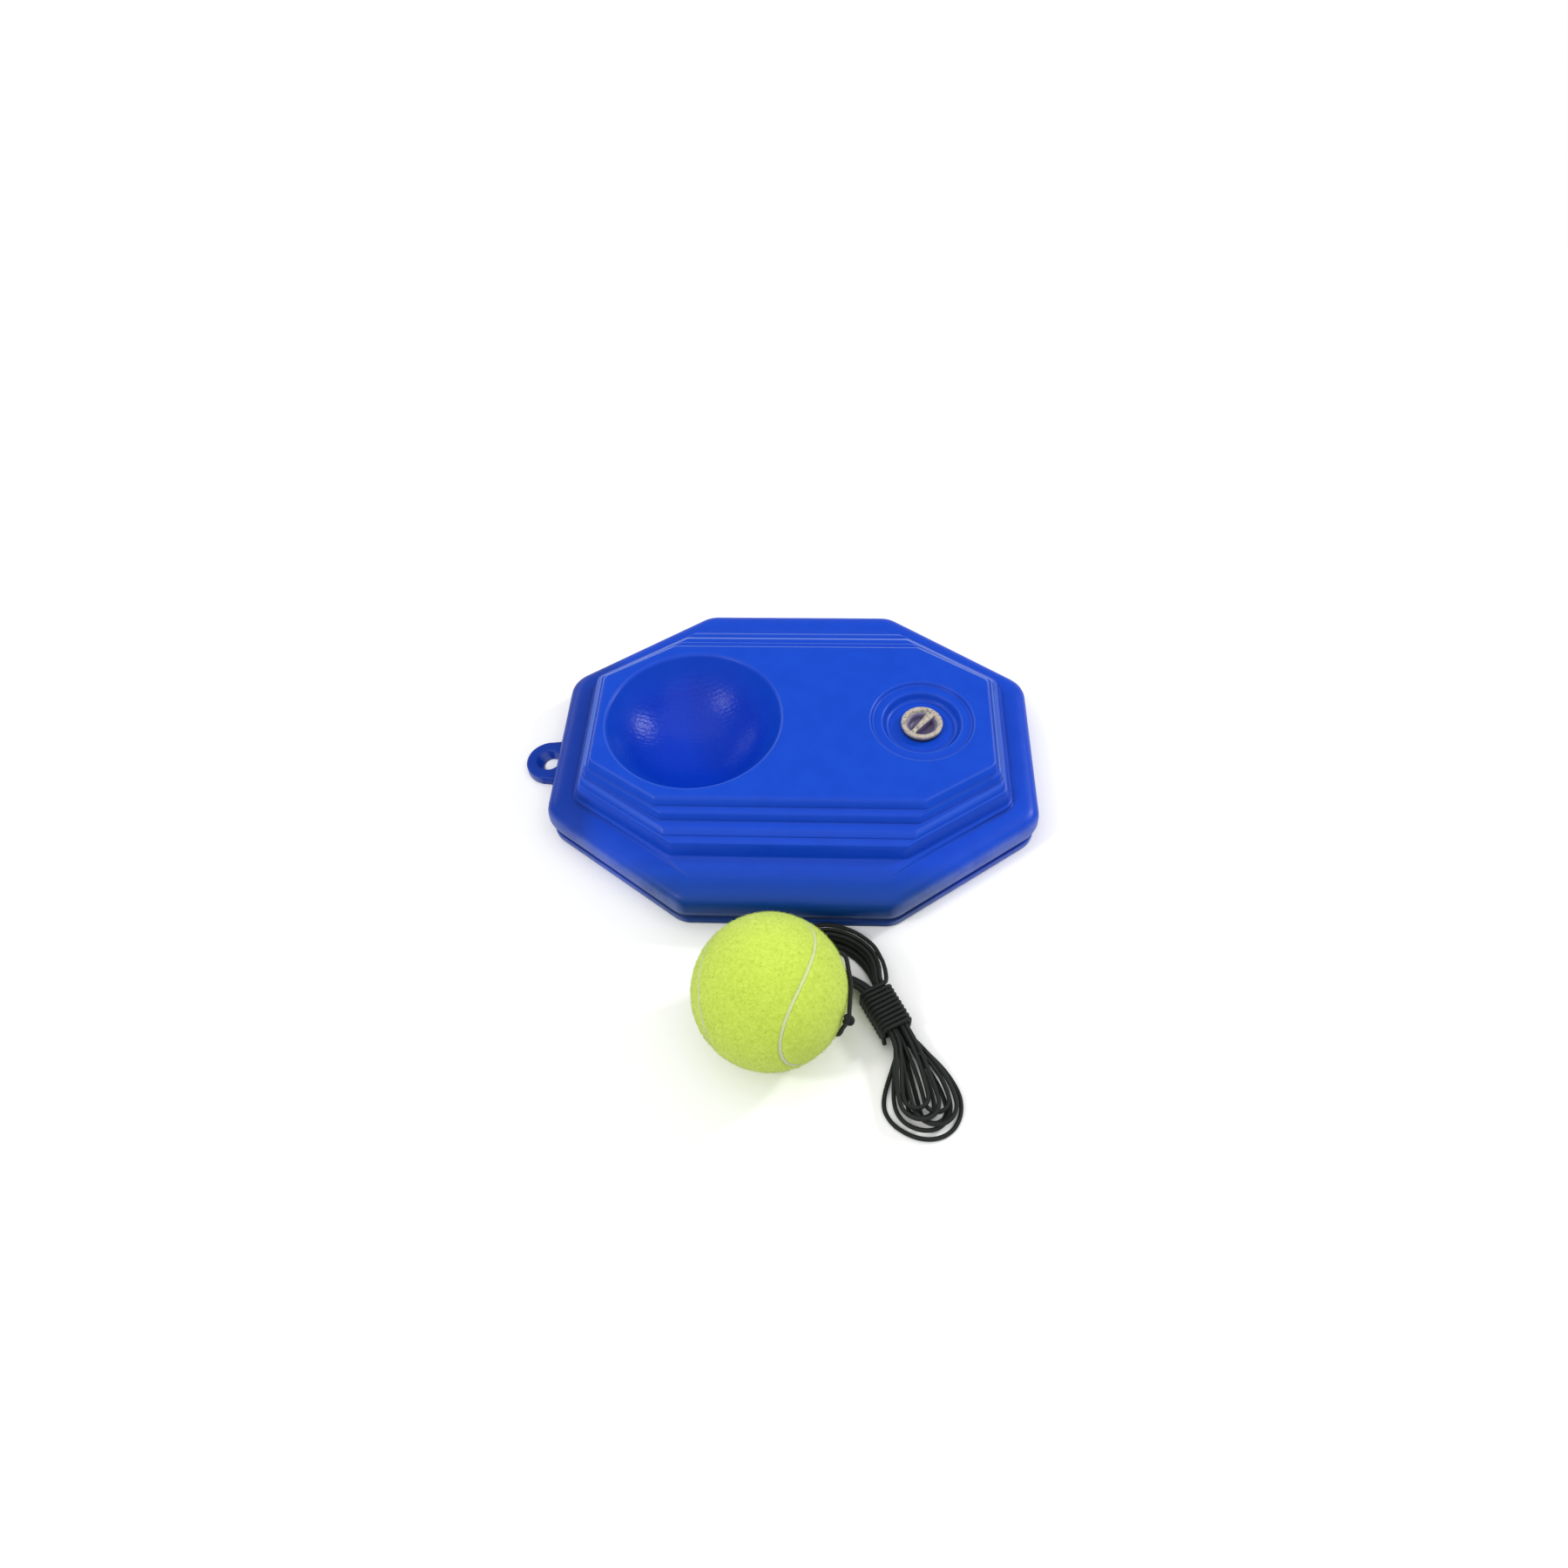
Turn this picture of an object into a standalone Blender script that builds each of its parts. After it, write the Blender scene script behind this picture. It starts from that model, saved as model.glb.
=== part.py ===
"""Tennis rebound trainer: a hollow stepped base with a ball bowl and a filler plug,
a felt ball, and its elastic cord put away as a hank.

Metres, +Z up.  The origin is at the middle of the base's underside, +X runs along the
base away from its cord lug, and the ball lies in front of the base at -Y.
"""
import math

import bmesh
import bpy
import numpy as np
from mathutils import Euler, Vector

MM = 0.001
GAP = 0.3 * MM                      # left between pieces that touch

# Base moulding: the top plate, the four terraces under it and the outline at the shoulder
BASE_HEIGHT = 39.6 * MM
PLATE_CUT_X = 33.8 * MM             # how far each cut-off corner runs along X
PLATE_CUT_Y = 22.0 * MM             # and along Y
PLATE_CORNER = 4.0 * MM
TREAD_X = (3.0 * MM, 1.5 * MM, 1.3 * MM)
TREAD_Y = (6.3 * MM, 5.9 * MM, 7.2 * MM)
TREAD_CUT_X = (5.4 * MM, 3.6 * MM, 4.8 * MM)
TREAD_CUT_Y = (3.3 * MM, 3.8 * MM, 2.9 * MM)
RISE = (3.5 * MM, 3.5 * MM, 2.4 * MM)
LAST_RISE = 7.7 * MM
OUTLINE_HALF_X = 118.9 * MM
OUTLINE_HALF_Y = 93.9 * MM
OUTLINE_CUT_X = 69.4 * MM
OUTLINE_CUT_Y = 49.6 * MM
OUTLINE_CORNER = 15.0 * MM
TERRACE_EDGE = 0.7 * MM             # bevel along each terrace's edge
TERRACE_FOOT = 0.5 * MM             # fillet where a riser meets the tread below it
TERRACE_FOOT_RISE = 0.15 * MM
LEDGE_FILLET = 3.0 * MM             # the same under the lowest terrace, which is softer
LEDGE_FILLET_DROP = 0.9 * MM
LEDGE_DROP = 1.6 * MM               # how far the ledge falls away to the shoulder
SHOULDER_WIDTH = 14.0 * MM          # ledge edge to the widest line of the wall
SHOULDER_DROP = 9.0 * MM
SHOULDER_CURVE = (                  # shares of that width left and of that drop gone
    (1.0, 0.0), (0.45, 0.08), (0.17, 0.26), (0.03, 0.55), (0.0, 1.0),
)
PARTING_HEIGHT = 5.0 * MM           # groove where the two mould halves met
PARTING_DEPTH = 3.0 * MM
PARTING_CURVE = (                   # shares of that depth, and height over the groove
    (0.25, 4.2 * MM), (0.6, 1.6 * MM), (1.0, 0.0), (0.55, -0.6 * MM), (0.45, -4.0 * MM),
)
FOOT_INSET = 0.8                    # share of the groove's depth, at the underside
BASE_WALL = 2.5 * MM
LEDGE_WIDTH_X = 0.3 * MM            # flat part of the ledge at the ends
LEDGE_WIDTH_Y = 9.3 * MM            # and along the sides
CORNER_POINTS = 3
CUT_PAST = 1.0 * MM                 # how far a cutter runs past the surface it opens
PLATE_HALF_X = OUTLINE_HALF_X - SHOULDER_WIDTH - LEDGE_FILLET - LEDGE_WIDTH_X - sum(TREAD_X)
PLATE_HALF_Y = OUTLINE_HALF_Y - SHOULDER_WIDTH - LEDGE_FILLET - LEDGE_WIDTH_Y - sum(TREAD_Y)

# Bowl that the ball is kept in
BOWL_OPENING_RADIUS = 43.3 * MM
BOWL_DEPTH = 28.0 * MM
BOWL_MARGIN = 3.9 * MM              # plate's end to the bowl's opening
BOWL_LEAN = 0.1 * MM                # how much wider the cutter is above the opening
BOWL_POLE = 0.06                    # radians off its axis, where the bowl's cap closes
BOWL_RINGS = 8
BOWL_SEGMENTS = 40
BOWL_X = -PLATE_HALF_X + BOWL_MARGIN + BOWL_OPENING_RADIUS

# Filler recess, threaded neck and plug
RECESS_RING_RADIUS = 25.1 * MM
RECESS_MARGIN = 7.9 * MM            # plate's end to the recess
RECESS_RING_DEPTH = 1.4 * MM
RECESS_RING_SLOPE = 0.8 * MM        # how far the ring's wall leans out
RECESS_RADIUS = 18.8 * MM
RECESS_SLOPE = 1.0 * MM
RECESS_DEPTH = 5.2 * MM
NECK_LENGTH = 13.0 * MM
NECK_WALL = 2.4 * MM
THREAD_PITCH = 3.0 * MM
THREAD_DEPTH = 0.8 * MM
THREAD_CLEARANCE = 0.45 * MM
THREAD_ROWS_PER_PITCH = 7
THREAD_SEGMENTS = 24
SHANK_ROOT_RADIUS = 7.4 * MM
SHANK_LENGTH = 11.0 * MM
SHANK_WALL = 1.3 * MM
SHANK_TIP_BEVEL = 0.3 * MM
SHANK_PLAIN_LENGTH = 1.2 * MM       # free of thread under the cap
CAP_OVERHANG = 2.1 * MM             # how far the cap reaches out past the thread
CAP_HEIGHT = 2.4 * MM
CAP_RIM = 2.7 * MM
CAP_EDGE = 0.5 * MM
CAP_DISH_DEPTH = 1.6 * MM
CAP_DISH_SLOPE = 0.2 * MM
GRIP_BAR_WIDTH = 3.6 * MM
GRIP_BAR_HEIGHT = 8.0 * MM
GRIP_BAR_SUNK = 0.3 * MM            # below the rim's top
GRIP_BAR_BITE = 0.8 * MM            # how far the bar's ends run into the rim
GRIP_BAR_FOOT = 0.78                # share of its length, where it goes down the shank
GRIP_BAR_ANGLE = math.radians(52)
GASKET_THICKNESS = 1.0 * MM
GASKET_WIDTH = 1.3 * MM
FILLER_X = PLATE_HALF_X - RECESS_MARGIN - RECESS_RING_RADIUS
RECESS_FLOOR = BASE_HEIGHT - RECESS_DEPTH
CAP_BOTTOM = RECESS_FLOOR + GASKET_THICKNESS + 2 * GAP
SHANK_CREST_RADIUS = SHANK_ROOT_RADIUS + THREAD_DEPTH
CAP_RADIUS = SHANK_CREST_RADIUS + CAP_OVERHANG
NECK_OUTER_RADIUS = SHANK_CREST_RADIUS + THREAD_CLEARANCE + NECK_WALL

# Lug that the cord ties to, at the -X end, level with the foot below the parting groove
LUG_THICKNESS = 5.0 * MM
LUG_RADIUS = 12.3 * MM
LUG_REACH = 7.2 * MM                # lug's middle, out from the base's end
LUG_ROOT = 4.3 * MM                 # lug's root, in from the base's end
LUG_FLARE = 1.5 * MM                # each side is wider by this at the root
LUG_POINTS = 15
LUG_HOLE_RADIUS = 6.4 * MM
LUG_HOLE_REACH = 8.2 * MM
LUG_CENTRE_X = -OUTLINE_HALF_X - LUG_REACH
LUG_ROOT_X = -OUTLINE_HALF_X + LUG_ROOT
LUG_HOLE_X = -OUTLINE_HALF_X - LUG_HOLE_REACH

# Ball: a rubber core of two halves, two felt panels and the seam between them
BALL_RADIUS = 32.5 * MM
BALL_CENTRE = Vector((-4.6 * MM, -142.8 * MM, BALL_RADIUS))
BALL_TURN = (4.672, 0.566, 5.86)    # radians, which brings the seam to where it shows
FELT_THICKNESS = 2.5 * MM
CORE_CLEARANCE = 0.6 * MM           # felt's inner corners to the core's, so flats clear
CORE_WALL = 3.3 * MM
SEAM_WIDTH = 1.7 * MM
SEAM_SUNK = 0.4 * MM
SEAM_A = 0.75                       # shape of the seam curve
SEAM_B = 0.25
CORE_POLE = math.radians(1.5)       # off its axis, where a half shell's cap closes
CORE_RINGS = 8
CORE_SEGMENTS = 24

# Cord: one elastic cord from the ball through the lead and the hank to the wrap's end
CORD_DIAMETER = 1.9 * MM
CORD_RADIUS = CORD_DIAMETER / 2
CORD_PITCH = CORD_DIAMETER + 0.45 * MM      # between layers, centre to centre
KNOT_RADIUS = 2.6 * MM
KNOT_POLE = 0.2                     # radians off its axis, where a knot's cap closes
TABLE_CLEARANCE = 0.05 * MM
CORD_HOLE_CLEARANCE = 0.4 * MM
CORD_HOLE_DEPTH = 12.0 * MM         # from the ball's surface, through felt and core
CORD_HOLE_WIDENING = 2.25 * MM      # how much wider the mouth is than the hole
CORD_HOLE_MOUTH_DEPTH = 2.6 * MM    # where the mouth has narrowed to the hole
CORD_HOLE_MOUTH_RISE = 0.6 * MM     # above the felt, where it is at its widest
CORD_HOLE_RADIUS = CORD_RADIUS + CORD_HOLE_CLEARANCE
CORD_HOLE_MOUTH_RADIUS = CORD_HOLE_RADIUS + CORD_HOLE_WIDENING
STRAIGHT_END = 2.2 * MM             # how far a stretch runs straight to the next one
KNOT_DIRECTION = Vector((0.919, -0.384, 0.087)).normalized()
HOLE_DIRECTION = Vector((0.851, -0.477, -0.217)).normalized()
TOUCH_DIRECTION = Vector((0.963, 0.233, 0.137)).normalized()
LEAD_START = (                      # share of the way from knot to touch point, and lift
    (0.17, 0.6 * MM), (0.4, 0.0), (0.7, 0.0), (1.0, 0.0),
)
LEAD_SPACING = 4.0 * MM
TAIL_ROUTE = (                      # share of the way from knot to hole, and lift
    (0.34, 0.16 * MM), (0.6, -0.1 * MM), (0.85, -0.35 * MM), (1.0, -2.15 * MM),
)
TAIL_DEPTH = 3.5 * MM               # in the hole, on its way to the stopper
TAIL_SPACING = 1.2 * MM
LEAD_ROUTE = (                      # after the cord leaves the ball's side, to the hank
    (26.6, -127.6, 35.0), (23.4, -121.0, 26.5), (18.6, -118.4, 17.6), (13.2, -118.8, 9.6),
    (8.2, -118.6, 4.2), (4.6, -115.8, 1.4),
)

# Hank: eight loops, two beside each other in each of four layers, drawn in under the wrap
HANK_SPINE = (                      # top bend behind the ball to the bottom of the fan
    (11.9, -107.4), (19.5, -107.6), (27.5, -110.9), (34.0, -117.9), (38.9, -126.6),
    (43.6, -135.5), (48.6, -144.6), (53.2, -154.0), (57.2, -164.0), (60.2, -174.5),
    (62.2, -185.5), (63.0, -196.0),
)
HANK_LAYERS = 4
HANK_LOOPS_PER_LAYER = 2
HANK_LOOP_POINTS = 24
HANK_LAST_PART = 0.18               # part of a turn that the cord runs past the loops
HANK_WAIST = (0.345, 0.57)          # share of the spine that the wrap covers
SPINE_STEP = 0.5 * MM
WAIST_HALF = (CORD_DIAMETER + 0.8 * MM) / 2
EYE_HALF = 6.2 * MM
EYE_ROUNDNESS = 0.6                 # how soon the eye is at its full width
EYE_LENGTHENING = 0.75
EYE_OPENING = 0.8                   # powers that shape how the eye and the fan open
FAN_OPENING = 0.95
FAN_HALF = 10.4 * MM
END_BEND = 0.62                     # part of a loop's half turn that its end bend takes
END_FULLNESS = 0.8                  # power that shapes that bend, 1 being a plain arc
LIFT_RUN = 0.2                      # share of the spine over which the hank sinks again
LANE_STEP_WAIST = CORD_DIAMETER + 0.5 * MM
LANE_STEP_CLIMB = CORD_DIAMETER + 0.8 * MM  # at the waist on the side where it climbs
LANE_STEP_FAN = CORD_DIAMETER + 1.5 * MM
LANE_STEP_EYE = CORD_DIAMETER + 1.7 * MM
WRAP_TURNS = 10
WRAP_PITCH = CORD_DIAMETER + 0.6 * MM
WRAP_TURN_POINTS = 16
WRAP_CORNER = (10, 45, 80)          # degrees, the points of a turn's rounded corner
WRAP_CLEARANCE = 0.15 * MM          # more than a pitch out from the strands it goes round
WRAP_START_AHEAD = 2.6 * MM         # the lead-in passes here, before the first turn
WRAP_START_OUT = 0.7 * MM
WRAP_START_DROP = 1.5 * MM
WRAP_END_ALONG = (3.0 * MM, 6.5 * MM, 10.0 * MM)
WRAP_END_OUT = (0.8 * MM, 2.2 * MM, 4.0 * MM)
WRAP_END_DROP = (1.0 * MM, 2.6 * MM, 4.2 * MM)


def material(name, colour, roughness, metallic=0.0):
    """Return a plain Principled material; colour is linear red, green, blue."""
    made = bpy.data.materials.new(name)
    made.use_nodes = True
    shader = made.node_tree.nodes["Principled BSDF"]
    shader.inputs["Base Color"].default_value = (*colour, 1.0)
    shader.inputs["Roughness"].default_value = roughness
    shader.inputs["Metallic"].default_value = metallic
    return made


def add_object(name, data, finish=None, parent=None, location=(0, 0, 0)):
    """Link an object made of a mesh or curve, or an empty where data is None."""
    obj = bpy.data.objects.new(name, data)
    bpy.context.scene.collection.objects.link(obj)
    if finish is not None:
        data.materials.append(finish)
    obj.parent = parent
    obj.location = location
    return obj


def mesh_from(name, vertices, faces, smooth_angle=None):
    """Return a mesh with its doubles merged and its faces turned outwards."""
    mesh = bpy.data.meshes.new(name)
    mesh.from_pydata([tuple(map(float, v)) for v in vertices], [], faces)
    shape = bmesh.new()
    shape.from_mesh(mesh)
    bmesh.ops.remove_doubles(shape, verts=shape.verts, dist=1e-7)
    bmesh.ops.recalc_face_normals(shape, faces=shape.faces)
    shape.to_mesh(mesh)
    shape.free()
    if smooth_angle is not None:
        mesh.shade_smooth()
        mesh.set_sharp_from_angle(angle=math.radians(smooth_angle))
    return mesh


def loft(name, rings, smooth_angle=None, joined=False):
    """Return a closed mesh through rings of equal count.

    Its first and last ring are filled, or joined to each other on a shape with a bore.
    """
    count = len(rings[0])
    last = len(rings) - 1
    vertices = np.concatenate(rings)
    faces = []
    for row in range(len(rings) if joined else last):
        start = row * count
        after = (row + 1) % len(rings) * count
        for i in range(count):
            j = (i + 1) % count
            faces.append((start + i, start + j, after + j, after + i))
    if not joined:
        faces.append(tuple(range(count)))
        faces.append(tuple(range(last * count, len(rings) * count)))
    return mesh_from(name, vertices, faces, smooth_angle)


def plain_ring(radius, height, segments):
    """Return one round ring of points about Z; the radius may differ from point to point."""
    angle = np.linspace(0, 2 * math.pi, segments, endpoint=False)
    return np.stack([radius * np.cos(angle), radius * np.sin(angle),
                     np.full(segments, height)], axis=1)


def turned(name, profile, segments, smooth_angle=35, joined=False):
    """Return the closed solid of a profile of (radius, height) turned about Z."""
    rings = [plain_ring(radius, height, segments) for radius, height in profile]
    return loft(name, rings, smooth_angle, joined)


def cutter(name, mesh, location=(0, 0, 0)):
    """Return a hidden wire object whose mesh only cuts or joins another's."""
    obj = add_object(name, mesh, location=location)
    obj.hide_render = True
    obj.display_type = "WIRE"
    return obj


def combine(obj, other, operation):
    """Add an exact Boolean of the other object to obj."""
    modifier = obj.modifiers.new(other.name, "BOOLEAN")
    modifier.operation = operation
    modifier.solver = "EXACT"
    modifier.object = other


def octagon(level, outward, height):
    """Return one rounded octagon of the base: a level moved outward, at a height.

    A level is half length, half width, the two legs of its cut-off corner and the radius
    that rounds each of its eight corners.  All eight edges move by the same distance, so
    the legs of the cut change with it.
    """
    half_x, half_y, cut_x, cut_y, radius = level
    slant = math.hypot(cut_x, cut_y)
    normal_x = cut_y / slant
    normal_y = cut_x / slant
    half_x += outward
    half_y += outward
    cut_x += outward * (1 - (1 - normal_y) / normal_x)
    cut_y += outward * (1 - (1 - normal_x) / normal_y)
    radius = max(radius + outward, PLATE_CORNER)
    quarter = [(half_x, half_y - cut_y), (half_x - cut_x, half_y)]
    corners = quarter + [(-x, y) for x, y in reversed(quarter)]
    corners += [(-x, -y) for x, y in corners]
    points = []
    for i, corner in enumerate(corners):
        here = np.array(corner)
        back = np.array(corners[i - 1]) - here
        ahead = np.array(corners[(i + 1) % 8]) - here
        back /= np.linalg.norm(back)
        ahead /= np.linalg.norm(ahead)
        half_turn = (math.pi - math.acos(float(np.clip(back @ ahead, -1, 1)))) / 2
        middle = back + ahead
        centre = here + middle / np.linalg.norm(middle) * radius / math.cos(half_turn)
        start = here + back * radius * math.tan(half_turn) - centre
        for step in np.linspace(0, 2 * half_turn, CORNER_POINTS):
            turned_x = start[0] * math.cos(step) - start[1] * math.sin(step)
            turned_y = start[0] * math.sin(step) + start[1] * math.cos(step)
            points.append((centre[0] + turned_x, centre[1] + turned_y, height))
    return np.array(points)


def base_levels():
    """Return the plate's level, then those of the three terraces, then the outline's."""
    levels = [(PLATE_HALF_X, PLATE_HALF_Y, PLATE_CUT_X, PLATE_CUT_Y, PLATE_CORNER)]
    for step in zip(TREAD_X, TREAD_Y, TREAD_CUT_X, TREAD_CUT_Y):
        half_x, half_y, cut_x, cut_y, radius = levels[-1]
        levels.append((half_x + step[0], half_y + step[1], cut_x + step[2],
                       cut_y + step[3], radius))
    outline = (OUTLINE_HALF_X, OUTLINE_HALF_Y, OUTLINE_CUT_X, OUTLINE_CUT_Y, OUTLINE_CORNER)
    return levels, outline


def base_outer():
    """Return the base's outer skin, from the plate down over the terraces to the foot."""
    levels, outline = base_levels()
    rings = []
    height = BASE_HEIGHT
    for level, drop in zip(levels, (*RISE, LAST_RISE)):
        rings.append(octagon(level, -TERRACE_EDGE, height))
        rings.append(octagon(level, 0, height - TERRACE_EDGE))
        height -= drop
        rings.append(octagon(level, TERRACE_FOOT, height + TERRACE_FOOT_RISE))
    rings.append(octagon(levels[-1], LEDGE_FILLET, height - LEDGE_FILLET_DROP))
    ledge = height - LEDGE_DROP
    for left, gone in SHOULDER_CURVE:
        rings.append(octagon(outline, -left * SHOULDER_WIDTH, ledge - gone * SHOULDER_DROP))
    for inward, up in PARTING_CURVE:
        rings.append(octagon(outline, -inward * PARTING_DEPTH, PARTING_HEIGHT + up))
    rings.append(octagon(outline, -FOOT_INSET * PARTING_DEPTH, 0.0))
    return loft("base_shell", rings, 30)


def base_inner():
    """Return the hollow inside the base, one wall in from its outer skin."""
    levels, outline = base_levels()
    inset = BASE_WALL + TERRACE_EDGE
    rings = []
    height = BASE_HEIGHT
    for level, drop in zip(levels, (*RISE, LAST_RISE)):
        rings.append(octagon(level, -inset, height - inset))
        height -= drop
    rings.append(octagon(levels[-1], 0, height - inset - LEDGE_FILLET_DROP))
    ledge = height - LEDGE_DROP
    for left, gone in (SHOULDER_CURVE[0], SHOULDER_CURVE[2], SHOULDER_CURVE[4]):
        inward = left * SHOULDER_WIDTH + (1 - left) * BASE_WALL
        drop = gone * SHOULDER_DROP + (1 - gone) * BASE_WALL
        rings.append(octagon(outline, -inward, ledge - drop))
    rings.append(octagon(outline, -BASE_WALL - PARTING_DEPTH, PARTING_HEIGHT))
    rings.append(octagon(outline, -BASE_WALL - PARTING_DEPTH, BASE_WALL))
    return loft("water_cavity", rings)


def bowl_solid(name, grow, top):
    """Return the bowl's ball-shaped dent as a solid, grown by a wall, up to a height."""
    radius = (BOWL_OPENING_RADIUS ** 2 + BOWL_DEPTH ** 2) / (2 * BOWL_DEPTH)
    centre = BASE_HEIGHT - BOWL_DEPTH + radius
    rim = math.asin(BOWL_OPENING_RADIUS / radius)
    profile = []
    for angle in np.linspace(BOWL_POLE, rim, BOWL_RINGS):
        profile.append(((radius + grow) * math.sin(angle),
                        centre - (radius + grow) * math.cos(angle)))
    profile.append((profile[-1][0] + BOWL_LEAN, top))
    return turned(name, profile, BOWL_SEGMENTS)


def ridge(turn):
    """Return the thread's height share at a place along one pitch, 0 to 1."""
    turn = turn % 1.0
    return np.clip(np.minimum((turn - 0.25) / 0.2, (1.0 - turn) / 0.2), 0, 1)


def threaded_rows(root, crest, low, high, reference, segments):
    """Return rings of a right-handed thread between two heights."""
    share = np.linspace(0, 1, segments, endpoint=False)
    rows = max(2, int(round((high - low) * THREAD_ROWS_PER_PITCH / THREAD_PITCH)))
    rings = []
    for height in np.linspace(low, high, rows):
        turn = (height - reference) / THREAD_PITCH - share
        rings.append(plain_ring(root + (crest - root) * ridge(turn), height, segments))
    return rings


def build_base(finish):
    """Make the hollow moulding with its bowl, filler recess, neck and cord lug."""
    base = add_object("base_shell", base_outer(), finish)
    cavity = cutter("water_cavity", base_inner())
    above = BASE_HEIGHT + CUT_PAST
    bowl_wall = cutter("bowl_wall", bowl_solid("bowl_wall", BASE_WALL, above), (BOWL_X, 0, 0))
    ring_floor = BASE_HEIGHT - RECESS_RING_DEPTH
    well_profile = [
        (NECK_OUTER_RADIUS, RECESS_FLOOR - NECK_LENGTH),
        (NECK_OUTER_RADIUS, RECESS_FLOOR - BASE_WALL),
        (RECESS_RADIUS + BASE_WALL, RECESS_FLOOR - BASE_WALL + 0.2 * MM),
        (RECESS_RADIUS + BASE_WALL, above),
    ]
    well = cutter("filler_well", turned("filler_well", well_profile, 32), (FILLER_X, 0, 0))
    combine(cavity, bowl_wall, "DIFFERENCE")
    combine(cavity, well, "DIFFERENCE")

    bowl = cutter("bowl_cut", bowl_solid("bowl_cut", 0.0, above), (BOWL_X, 0, 0))
    recess_profile = [
        (RECESS_RADIUS - RECESS_SLOPE, RECESS_FLOOR),
        (RECESS_RADIUS, ring_floor),
        (RECESS_RING_RADIUS - RECESS_RING_SLOPE, ring_floor),
        (RECESS_RING_RADIUS, BASE_HEIGHT + 0.1 * CUT_PAST),
        (RECESS_RING_RADIUS, above),
    ]
    recess = cutter("recess_cut", turned("recess_cut", recess_profile, 32), (FILLER_X, 0, 0))
    bore_low = RECESS_FLOOR - NECK_LENGTH - CUT_PAST
    bore_root = SHANK_ROOT_RADIUS + THREAD_CLEARANCE
    bore_crest = SHANK_CREST_RADIUS + THREAD_CLEARANCE
    bore_rows = threaded_rows(bore_root, bore_crest, bore_low, RECESS_FLOOR - 0.5 * MM,
                              CAP_BOTTOM, THREAD_SEGMENTS)
    bore_rows.append(plain_ring(bore_crest, RECESS_FLOOR, THREAD_SEGMENTS))
    bore_rows.append(plain_ring(bore_crest, RECESS_FLOOR + CUT_PAST, THREAD_SEGMENTS))
    bore = cutter("neck_bore", loft("neck_bore", bore_rows), (FILLER_X, 0, 0))

    lug_points = []
    for height in (0.0, LUG_THICKNESS):
        ring = [(LUG_ROOT_X, LUG_RADIUS + LUG_FLARE, height)]
        for angle in np.linspace(math.pi / 2, 3 * math.pi / 2, LUG_POINTS):
            ring.append((LUG_CENTRE_X + LUG_RADIUS * math.cos(angle),
                         LUG_RADIUS * math.sin(angle), height))
        ring.append((LUG_ROOT_X, -LUG_RADIUS - LUG_FLARE, height))
        lug_points.append(np.array(ring))
    lug = cutter("lug", loft("lug", lug_points))
    through = [(LUG_HOLE_RADIUS, -CUT_PAST), (LUG_HOLE_RADIUS, LUG_THICKNESS + CUT_PAST)]
    hole = cutter("lug_hole", turned("lug_hole", through, 24), (LUG_HOLE_X, 0, 0))
    combine(base, lug, "UNION")
    combine(base, hole, "DIFFERENCE")
    combine(base, cavity, "DIFFERENCE")
    combine(base, bowl, "DIFFERENCE")
    combine(base, recess, "DIFFERENCE")
    combine(base, bore, "DIFFERENCE")


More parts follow.
